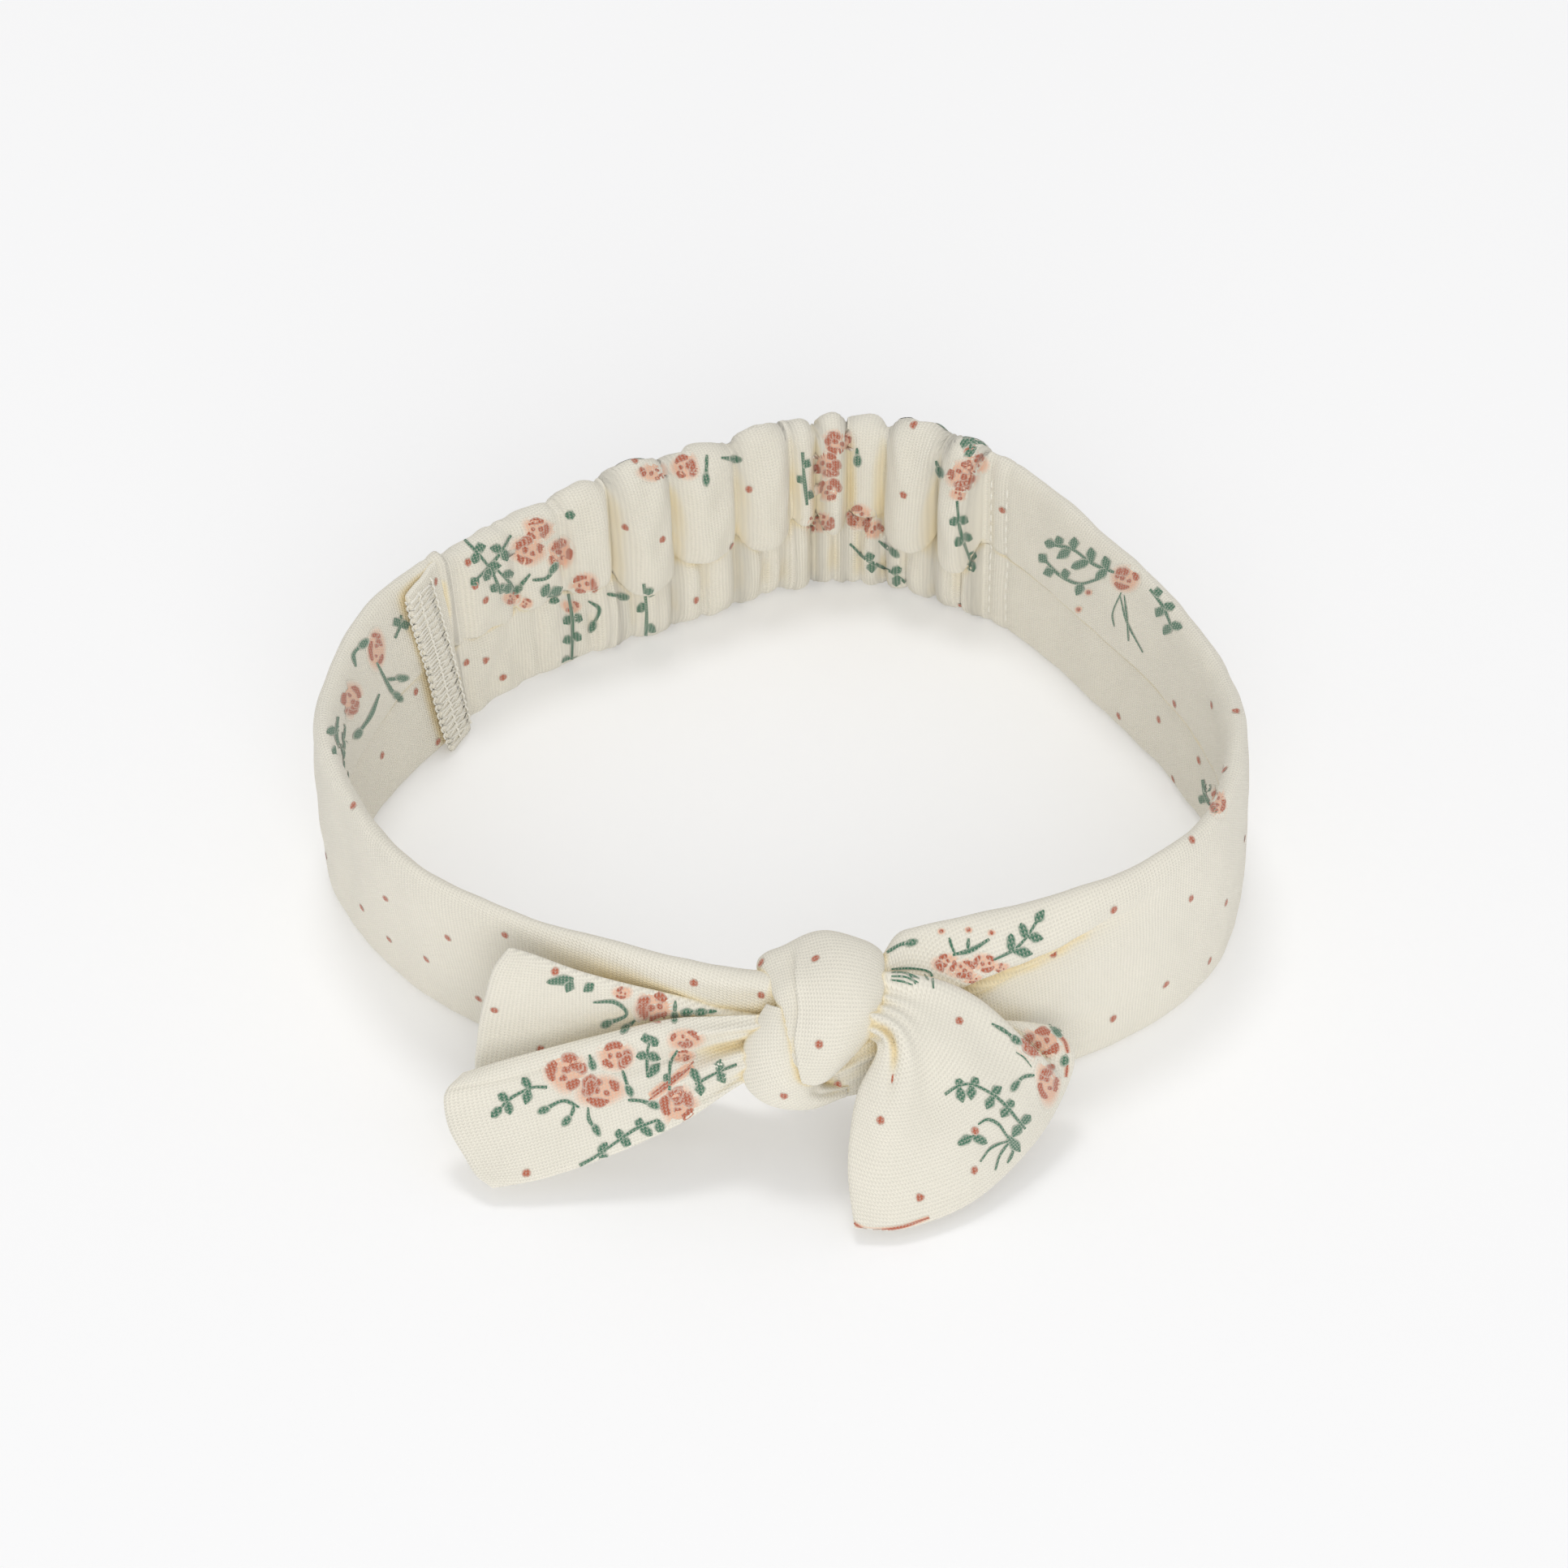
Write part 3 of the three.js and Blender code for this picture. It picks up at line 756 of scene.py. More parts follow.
def right_tail():
    rails = [
        [(9, -56.8, 20), (15, -56.6, 19.5), (21, -56, 18.2),
         (27, -56, 16.8), (31, -55.3, 15.8), (35.4, -54.7, 14.4)],
        [(9, -57, 21.4), (16, -57, 20.6), (22, -57, 17.6),
         (28.2, -57.6, 14.8), (32.4, -57.4, 13), (37.9, -56.3, 10.8)],
        [(9, -57.5, 23.2), (16.2, -57.9, 23.7), (23.3, -58.4, 20.6),
         (30.1, -60.2, 14.9), (33.2, -61, 11.8), (36.2, -60.8, 7.6)],
        [(9, -59, 23.4), (15.8, -61.2, 22.9), (22.2, -65.2, 18.6),
         (27.2, -67.4, 13), (29.8, -68, 9), (31.9, -67, 4.4)],
        [(9, -60.5, 22.6), (14.8, -63.8, 22), (18.4, -69.3, 16.2),
         (20.6, -72.6, 12), (22.2, -74, 8), (24, -75, 2)],
        [(9, -61.6, 21.4), (13.2, -64.8, 21), (13.2, -70.8, 16),
         (13.2, -74.5, 11.4), (13.3, -77, 7), (15.2, -79.8, 1.6)],
        [(9, -61.6, 19.6), (12, -64.3, 19.4), (9.2, -68.7, 15.6),
         (8.2, -72.2, 11.6), (7.9, -75.8, 7), (8.7, -80.2, 2.1)],
    ]

    def relief(station, place):
        ridge = 1.3 * bump_at(place, 2.0, 0.34) * (1 - smooth(station, 3.6, 4.9))
        behind = -2.3 * bump_at(place, 1.4, 0.32) * (1 - smooth(station, 3.8, 5.0))
        pleat_line = 4.75 + 0.25 * (station - 1)
        pleat = -1.9 * np.exp(-np.abs(place - pleat_line) / 0.16)
        pleat = pleat * smooth(station, 0.4, 0.9) * (1 - smooth(station, 1.2, 2.3))
        roll = 0.7 * bump_at(place, pleat_line - 0.5, 0.3) * (1 - smooth(station, 1.0, 2.4))
        broad = -1.0 * bump_at(place, 4.0 + 0.35 * (station - 2), 0.5) * bump_at(station, 2.4, 0.9)
        gathers = 0.35 * np.sin(place * 9 + 1) * (1 - smooth(station, 0.6, 1.5))
        return ridge + behind + pleat + roll + broad + gathers + soft_folds(station, place, 9, 0.2, 23)
    return pillow(rails, 84, 110, 0.95, 1.3, tip=1.3, relief=relief)


def knot_wrap():
    """The strand that passes behind the band, over the top and down the front to a tucked point."""
    stations = [
        [(9, -53, 8.5), (7, -51.5, 8), (4.5, -51, 8),
         (2, -51.2, 8.3), (0.5, -51.8, 8.8), (-1, -53, 9.5)],
        [(11.5, -51, 14), (8.5, -49, 14), (5, -48.4, 14),
         (1.5, -48.8, 14), (-0.5, -49.6, 14.4), (-2, -51, 15)],
        [(12.5, -51, 20.5), (9.5, -48.9, 21.5), (5.2, -48.3, 22),
         (1.2, -48.8, 21.5), (-1.5, -49.6, 20.8), (-3.8, -51, 19.5)],
        [(13, -52.5, 24.6), (10.2, -51.5, 27), (5.5, -51, 27.8),
         (0.8, -51.3, 26.8), (-2.2, -51.8, 25.2), (-4.6, -52.5, 22.8)],
        [(13.3, -55.5, 25.2), (10.5, -55.2, 28), (6, -55.2, 28.8),
         (1.8, -55.2, 28), (-1.2, -55, 26.7), (-4.4, -54.8, 24.2)],
        [(13.4, -58.5, 24.4), (10.2, -59.8, 27), (6.2, -60.2, 27.8),
         (2.2, -59.8, 27.3), (-0.2, -59.2, 26.3), (-3.2, -58.4, 24.4)],
        [(12.8, -61, 23), (9.8, -63.2, 24.6), (6.3, -63.9, 25.2),
         (2.8, -63.4, 24.9), (0.8, -62.6, 24.2), (-1.8, -61.8, 23.4)],
        [(12, -62.9, 21.0), (8.8, -65.3, 21.8), (5.8, -66.4, 22),
         (2.8, -66.2, 22), (0.5, -65.4, 21.6), (-1.6, -64.4, 21.4)],
        [(9.4, -65.2, 18.6), (7.2, -67.1, 19), (5, -67.9, 19.1),
         (3, -68, 19.2), (1.3, -67.6, 19.2), (-0.5, -66.8, 19.4)],
        [(5.4, -67.2, 16.2), (4.4, -68.1, 16), (3.5, -68.5, 15.8),
         (2.7, -68.5, 15.8), (2, -68.3, 16), (1.2, -67.8, 16.4)],
    ]

    def relief(station, place):
        fold = np.interp(station, [3.5, 5, 6, 7, 9], [3.2, 3.46, 3.75, 3.85, 4.1])
        front = smooth(station, 3.2, 4.4)
        layer = -0.75 * smooth(place, fold - 0.02, fold + 0.1) * front
        lip = 0.25 * bump_at(place, fold - 0.15, 0.2) * front
        pull = 0.22 * np.sin(place * 3.0 + 0.3 * station) * (1 - smooth(station, 4, 6))
        return layer + lip + pull + soft_folds(station, place, 9, 0.12, 24)
    return pillow(np.swapaxes(stations, 0, 1), 64, 130, 1.5, 1.7, tip=1.2, sink=1.0, relief=relief)


def knot_under_lobe():
    """The strand that crosses under the wrap's point, from the upper left to the lower right."""
    stations = [
        [(0.4, -60.8, 23.2), (-0.8, -61, 23.4), (-2, -60.4, 23.2), (-2.7, -59.4, 22.6), (-3, -58, 21.5)],
        [(1.4, -63.2, 21.6), (-1, -64, 22), (-3.3, -63.4, 21.5), (-4.9, -62.1, 20.3), (-5.6, -60.5, 18.7)],
        [(2.6, -65, 19.4), (-0.4, -66.4, 19.7), (-3.4, -66, 18.7), (-5.6, -64.7, 17.1), (-6.5, -62.8, 15.4)],
        [(4, -66, 17.2), (0.9, -67.8, 17), (-2.1, -67.9, 15.9), (-4.7, -66.9, 14), (-5.9, -65, 12.3)],
        [(5, -66, 15.4), (2.7, -68, 14.9), (0.3, -68.5, 13.7), (-1.4, -67.8, 12), (-2.4, -66.2, 10.5)],
        [(5.8, -65.4, 14.4), (4.9, -67.2, 13.8), (3.8, -67.9, 12.7), (2.9, -67.4, 11.2), (2.2, -66, 10.3)],
        [(8.5, -63.8, 13.6), (8.2, -65, 13), (7.8, -65.5, 12), (7.4, -65, 11), (7, -63.8, 10.2)],
    ]

    def relief(station, place):
        turn = -0.5 * bump_at(place - 0.35 * (station - 4.6), 0.9, 0.3) * smooth(station, 3.6, 4.4)
        return turn + soft_folds(station, place, 8, 0.14, 25)
    return pillow(np.swapaxes(stations, 0, 1), 52, 80, 1.7, 2.4, sink=1.0, relief=relief)


def knot_shaded_strand():
    """The strand that comes out under the wrap, in the shade between the lobe and the right tail."""
    rails = [
        [(0, -61.5, 17), (5, -62.4, 17.6), (10, -61.4, 19.4), (15, -59, 20.6)],
        [(0, -63.4, 14.4), (5, -64.3, 14.8), (10, -63.6, 16.8), (15, -61.4, 18.4)],
        [(0, -64, 12), (5.2, -64.9, 12), (10, -64.6, 13.4), (15, -62.8, 15)],
        [(0, -63, 9.6), (5.4, -64, 9.6), (10, -64, 10.4), (15, -62.6, 12)],
    ]

    def relief(station, place):
        tucked = 0.8 * (1 - smooth(place, 1.05, 1.2)) * smooth(station, 0.6, 1.2)
        return tucked + 0.22 * np.sin(place * 11 + station * 1.5)
    return pillow(rails, 44, 60, 1.5, 2.0, sink=1.0, relief=relief)


# ---------------------------------------------------------------- seams, stitches and elastic
ALLOWANCE_WIDTH = 7.6      # of the turned allowance of the cross seam
ALLOWANCE_LIFT = 1.0       # how much it rises from the seam to its free edge
LOOP_PITCH = 1.27          # between the overlock's loops
THREAD_RADIUS = 0.17
THREAD_SIDES = 6
FACE_ROWS = 0.47 * ROWS    # rows of the band's grid up either face


def inner_row(height):
    """Row of the band's grid on its inner face, at a height given as a share."""
    return (height - 0.5) * FACE_ROWS


def outer_row(height):
    return 0.5 * ROWS - inner_row(height)


def seam_allowance():
    """Both ends of the tube, overlocked together and turned flat against the inner face."""
    across = np.linspace(ALLOWANCE_WIDTH, -0.8, 7)
    up = np.linspace(0.02, 0.985, 14)
    rails = []
    for place in across:
        free = max(0, place / ALLOWANCE_WIDTH)
        slant = SEAM_SLANT * (up - 0.5)
        _, base, out, rise, height = band_frames(place + slant + 0.3 * np.sin(9 * up) * free)
        lift = 1.2 + ALLOWANCE_LIFT * (smooth(place, -0.8, 3.5) + 0.9 * free**2)
        lift = lift + 0.25 * free * np.sin(7 * up + 1)
        rails.append(base + rise * (up * height)[:, None] - out * lift[:, None])
    return pillow(rails, 28, 90, 0.5, 0.6, tip=0.6, sink=1.0)


def overlock_lines(sheet):
    """The looped thread round the allowance's free edge and its two needle lines."""
    rows = (len(sheet.points) + 2) // 2
    total = sheet.along[0, -1]
    columns = np.interp(np.arange(0.8, total - 0.8, 0.12), sheet.along[0], np.arange(sheet.points.shape[1]))
    turns = np.arange(len(columns)) * 0.12 / LOOP_PITCH
    swing = np.abs(2 * (turns % 1) - 1) ** 0.8
    edge = rows * 0.02
    inner = rows * 0.6
    sway = np.sin(2 * math.pi * turns)
    looped = sheet.at(edge + (inner - edge) * swing - 1.2 * (1 - swing), columns + 1.6 * sway, 0.1)
    rim = sheet.at(edge - 1.0 + 0.7 * sway, columns, 0.14)
    lines = [looped, rim]
    for place in (inner, rows * 0.34):
        lines.append(sheet.at(np.full(len(columns), place), columns, 0.13 + 0.11 * sway))
    return lines


def stitch_lines(row_at, band, lengths, heights, lift=0.1):
    """Short stitches one after another along the given places."""
    lines = []
    count = len(lengths) // 5
    for length, height in zip(np.array_split(lengths, count), np.array_split(heights, count)):
        t = np.linspace(0, 1, len(length))
        column = length / LOOP_LENGTH * band.points.shape[1]
        lines.append(band.at(row_at(height), column, lift * (1.9 * np.sin(math.pi * t) - 1)))
    return lines


def anchor_lines(band):
    """Two rows of stitches through the band that hold the end of the elastic."""
    lines = []
    up = np.linspace(0.06, 0.94, 70)
    for shift in ANCHOR_SHIFTS:
        row = np.full(len(up), place_of(ANCHOR_ROW) + shift)
        lines += stitch_lines(inner_row, band, row, up) + stitch_lines(outer_row, band, row, up)
    return lines


def long_seam_lines(band):
    """Stitches of the lengthwise seam, in the groove in the middle of the inner face."""
    lengths = np.arange(9, LOOP_LENGTH - 1, 0.45)
    return stitch_lines(inner_row, band, lengths, np.full(len(lengths), 0.5), 0.05)


def thread(name, lines):
    """Round threads along lines, as one mesh."""
    points, faces, flats = [], [], []
    count = 0
    sides = THREAD_SIDES
    for line in lines:
        way = unit(np.gradient(line, axis=0))
        side = unit(np.cross(way, np.where(np.abs(way[:, 2:]) > 0.8, [[0, 1.0, 0]], [[0, 0, 1.0]])))
        other = np.cross(way, side)
        turn = np.linspace(0, 2 * math.pi, sides, endpoint=False)
        from_end = np.minimum(np.arange(len(line)), np.arange(len(line))[::-1])
        size = THREAD_RADIUS * np.minimum(1, 0.25 + from_end)
        ring = side[:, None] * np.cos(turn)[None, :, None] + other[:, None] * np.sin(turn)[None, :, None]
        points.append((line[:, None] + size[:, None, None] * ring).reshape(-1, 3))
        r, k = np.meshgrid(np.arange(len(line) - 1), np.arange(sides), indexing="ij")
        a, b = r * sides + k, r * sides + (k + 1) % sides
        faces.append(np.stack([a, b, b + sides, a + sides], -1).reshape(-1, 4) + count)
        long = running_length(line[None], 1)[0]
        flats.append(np.stack(np.broadcast_arrays(long[:, None], turn[None], 0.0), -1).reshape(-1, 3))
        count += len(line) * sides
    obj = mesh_object(name, np.concatenate(points), np.concatenate(faces), THREAD)
    store_cloth_place(obj, np.concatenate(flats))
    return obj


def elastic():
    """A flat strip of knitted elastic inside the casing, from the cross seam to the anchor stitches."""
    lengths = np.linspace(place_of(ANCHOR_ROW) - 6, LOOP_LENGTH - 1, 60)
    _, base, _, up, height = band_frames(lengths)
    share = np.linspace(0.14, 0.86, 6)[:, None, None]
    rails = base[None] + share * (up * height[:, None])[None]
    return pillow(rails, 24, 220, 0.6, 0.5, tip=0.6)


# ---------------------------------------------------------------- the floral print
PEACH_LAYER, RUST_LAYER, GREEN_LAYER = 0, 1, 2
RIM = (0.0, 0.45, 0.4)     # strength of each layer's ink at the rim of a shape
LONGEST_STEP = 1.9         # a drawn face longer than this has jumped from one fold to another
NO_MIDDLE = (math.nan, math.nan)
VIEW_ELEVATION = math.radians(40)
VIEW_DISTANCE = 900.0
VIEW_AIM = np.array([-0.45, 5.0, 6.0])
SENSOR, LENS = 36.0, 147.8
VIEW_FORWARD = np.array([0, math.cos(VIEW_ELEVATION), -math.sin(VIEW_ELEVATION)])
VIEW_UP = np.array([0, math.sin(VIEW_ELEVATION), math.cos(VIEW_ELEVATION)])


class Drawing:
    """Ink shapes in a plane, in millimetres: points with a strength, and triangles with a layer."""

    def __init__(self):
        self.points, self.middles, self.strength = [], [], []
        self.heights, self.triangles, self.layers = [], [], []
        self.count = 0
        self.random = np.random.default_rng(11)

    def add_grid(self, points, strength, layer, closed=False, middle=NO_MIDDLE):
        """points is rows x columns x 2; closed joins the last column to the first.

        A shape with a middle keeps its size where the cloth is seen at a slant.
        """
        rows, columns = points.shape[:2]
        r, c = np.meshgrid(np.arange(rows - 1), np.arange(columns if closed else columns - 1), indexing="ij")
        a, b = r * columns + c, r * columns + (c + 1) % columns
        halves = (a, b, b + columns), (a, b + columns, a + columns)
        triangles = np.concatenate([np.stack(half, -1).reshape(-1, 3) for half in halves])
        self.points.append(points.reshape(-1, 2))
        self.middles.append(np.full((rows * columns, 2), middle))
        self.strength.append(np.broadcast_to(strength, (rows, columns)).ravel())
        # Each shape lies a little over the one before, so that where they cross one of them wins.
        height = INK_LIFT * (1 + 0.6 * layer + 0.06 * (len(self.points) % 8))
        self.heights.append(np.full(rows * columns, height))
        self.triangles.append(triangles + self.count)
        self.layers.append(np.full(len(triangles), layer))
        self.count += rows * columns

    def blob(self, x, y, rx, ry, layer, turn=0.0, rough=0.12, soft=0.25, middle=NO_MIDDLE):
        """A patch of ink with an uneven outline and a soft rim."""
        around = np.linspace(0, 2 * math.pi, 16 if max(rx, ry) < 1.2 else 28, endpoint=False)
        draw = self.random
        waves = [draw.normal(0, rough / k) * np.sin(k * around + draw.uniform(0, 6.3)) for k in (2, 3, 5)]
        wave = sum(waves)
        share = np.array([0.0, 0.3, 0.6, 0.8, 1.0])[:, None]
        ring = 0.02 + 0.98 * np.minimum(share / 0.8 * (1 - soft), 1) + soft * (share == 1)
        radius = ring * (1 + wave)
        px, py = radius * rx * np.cos(around), radius * ry * np.sin(around)
        c, s = math.cos(turn), math.sin(turn)
        points = np.stack([x + px * c - py * s, y + px * s + py * c], -1)
        self.add_grid(points, np.where(share < 1, 1, RIM[layer]), layer, closed=True, middle=middle)

    def stroke(self, line, width, layer=GREEN_LAYER, start=0.6, end=0.6, belly=1.0):
        """A brush stroke along a curve: its width at the start and end as a share, swollen in the middle."""
        line = np.asarray(line, float)
        long = np.linalg.norm(np.diff(line, axis=0), axis=1).sum()
        t = np.linspace(0, 1, max(5, int(long / 0.35)))
        path = spline(line, t * (len(line) - 1))
        way = unit(np.gradient(path, axis=0))
        side = np.stack([-way[:, 1], way[:, 0]], -1)
        ends = start + (end - start) * t
        half = 0.5 * width * (ends + (belly - ends) * np.sin(math.pi * t) ** 0.8)
        half = half * (1 + 0.14 * np.sin(9 * t + self.random.uniform(0, 6.3)))
        lanes = np.array([-1, -0.6, 0, 0.6, 1.0])[:, None, None]
        points = path[None] + lanes * half[None, :, None] * side[None]
        rim = RIM[layer]
        self.add_grid(points, np.array([rim, 1, 1, 1, rim])[:, None], layer)

    def leaf(self, x, y, tip_x, tip_y, width=1.0):
        middle = 0.5 * (x + tip_x), 0.5 * (y + tip_y)
        self.stroke([(x, y), middle, (tip_x, tip_y)], width, start=0.25, end=0.12)

    def sprig(self, stem, leaves, width=1.5, thin=0.5):
        """A stem with leaves, each given as its place along the stem, its side and its length."""
        stem = np.asarray(stem, float)
        self.stroke(stem, thin, start=0.9, end=0.9)
        for place, side, length in leaves:
            at = np.array([place * (len(stem) - 1)])
            root = spline(stem, at)[0]
            way = unit(spline(stem, at + 0.05)[0] - spline(stem, at - 0.05)[0])
            turn = side * math.radians(58 + self.random.uniform(-8, 8))
            c, s = math.cos(turn), math.sin(turn)
            tip = root + length * np.array([way[0] * c - way[1] * s, way[0] * s + way[1] * c])
            self.leaf(*root, *tip, width=width)

    def bud(self, line, width=0.6):
        """A stem that ends in a bud."""
        self.stroke(line, width, start=0.5, end=1.1)
        (x0, y0), (x, y) = line[-2:]
        self.blob(x, y, 0.85, 0.5, GREEN_LAYER, turn=math.atan2(y - y0, x - x0))

    def dot(self, x, y):
        self.blob(x, y, 0.5, 0.52, RUST_LAYER, rough=0.16, soft=0.3, middle=(x, y))

    def flower(self, x, y, rx, ry, petals=5):
        """A peach wash with a few bold rust marks, most of them run together at its rim."""
        random = self.random
        small = min(rx, ry)
        self.blob(x, y, 1.12 * rx, 1.12 * ry, PEACH_LAYER, rough=0.12, soft=0.3)
        turn = random.uniform(0, 6.3)

        def mark(angle, out, size, long=1.0):
            px, py = x + out * rx * math.cos(angle), y + out * ry * math.sin(angle)
            self.blob(px, py, size * long, size, RUST_LAYER, turn=angle + 1.57, rough=0.2)

        # one petal edge as a crescent, and on larger flowers a second
        for middle, reach in ((turn, 0.75), (turn + 2.2, 0.5))[:1 + petals // 5]:
            angles = np.linspace(middle - reach, middle + reach, 5)
            line = np.stack([x + 0.78 * rx * np.cos(angles), y + 0.78 * ry * np.sin(angles)], -1)
            self.stroke(line, 0.68 * small, RUST_LAYER, start=0.6, end=0.35)
        # a blotch of dabs that touch
        for k in range(petals - 2):
            mark(turn + 3.6 + 0.42 * k, random.uniform(0.5, 0.85), small * random.uniform(0.27, 0.38), 1.3)
        mark(turn + 1.3, 0.35, 0.2 * small)
        mark(turn + 4.6, 0.2, 0.26 * small)

    def streak(self, line, width, count=3):
        """Rust strokes side by side over a peach wash, where a flower is squeezed by a pleat."""
        line = np.asarray(line, float)
        self.stroke(line, width * 1.25, PEACH_LAYER, start=0.7, end=0.7)
        for k in range(count):
            shift = (k - (count - 1) / 2) * width / count
            self.stroke(line + np.array([0.5 * shift, shift]), 0.62 * width / count, RUST_LAYER)

    def spray(self, x, y, turn=0.0, size=1.0, mirror=1):
        """A whole spray: three flowers, two leafy stems and some buds."""
        c, s = size * math.cos(turn), size * math.sin(turn)

        def at(*pairs):
            return [(x + mirror * (a * c - b * s), y + a * s + b * c) for a, b in pairs]

        for (a, b), radius in zip(at((0, 0), (4.6, -1.8), (3.4, 3.4)), (2.5, 2.3, 2.0)):
            self.flower(a, b, radius * size, 0.85 * radius * size)
        along = ((0.25, 2.1), (0.55, 2.0), (0.82, 1.7))
        leaves = [(place, side, long) for place, long in along for side in (1, -1)] + [(1, 0, 1.7)]
        self.sprig(at((-2.6, 0.6), (-5.5, 1.6), (-8.4, 1.0), (-10.5, -0.6)), leaves)
        self.sprig(at((6.8, -2.6), (9.5, -4.2), (12.6, -4.6), (15.2, -3.6)), leaves)
        for line in (
            ((-1.4, -3.0), (-3.6, -4.2), (-5.8, -4.0)), ((2.0, -4.2), (1.4, -6.0), (2.2, -7.8)),
            ((6.0, 3.4), (8.4, 3.6), (10.0, 2.2)), ((5.2, 5.2), (6.2, 7.0), (5.8, 8.6)),
        ):
            self.bud(at(*line))

    def parts(self):
        kinds = (self.points, self.middles, self.strength, self.heights, self.triangles, self.layers)
        return [np.concatenate(kind) for kind in kinds]


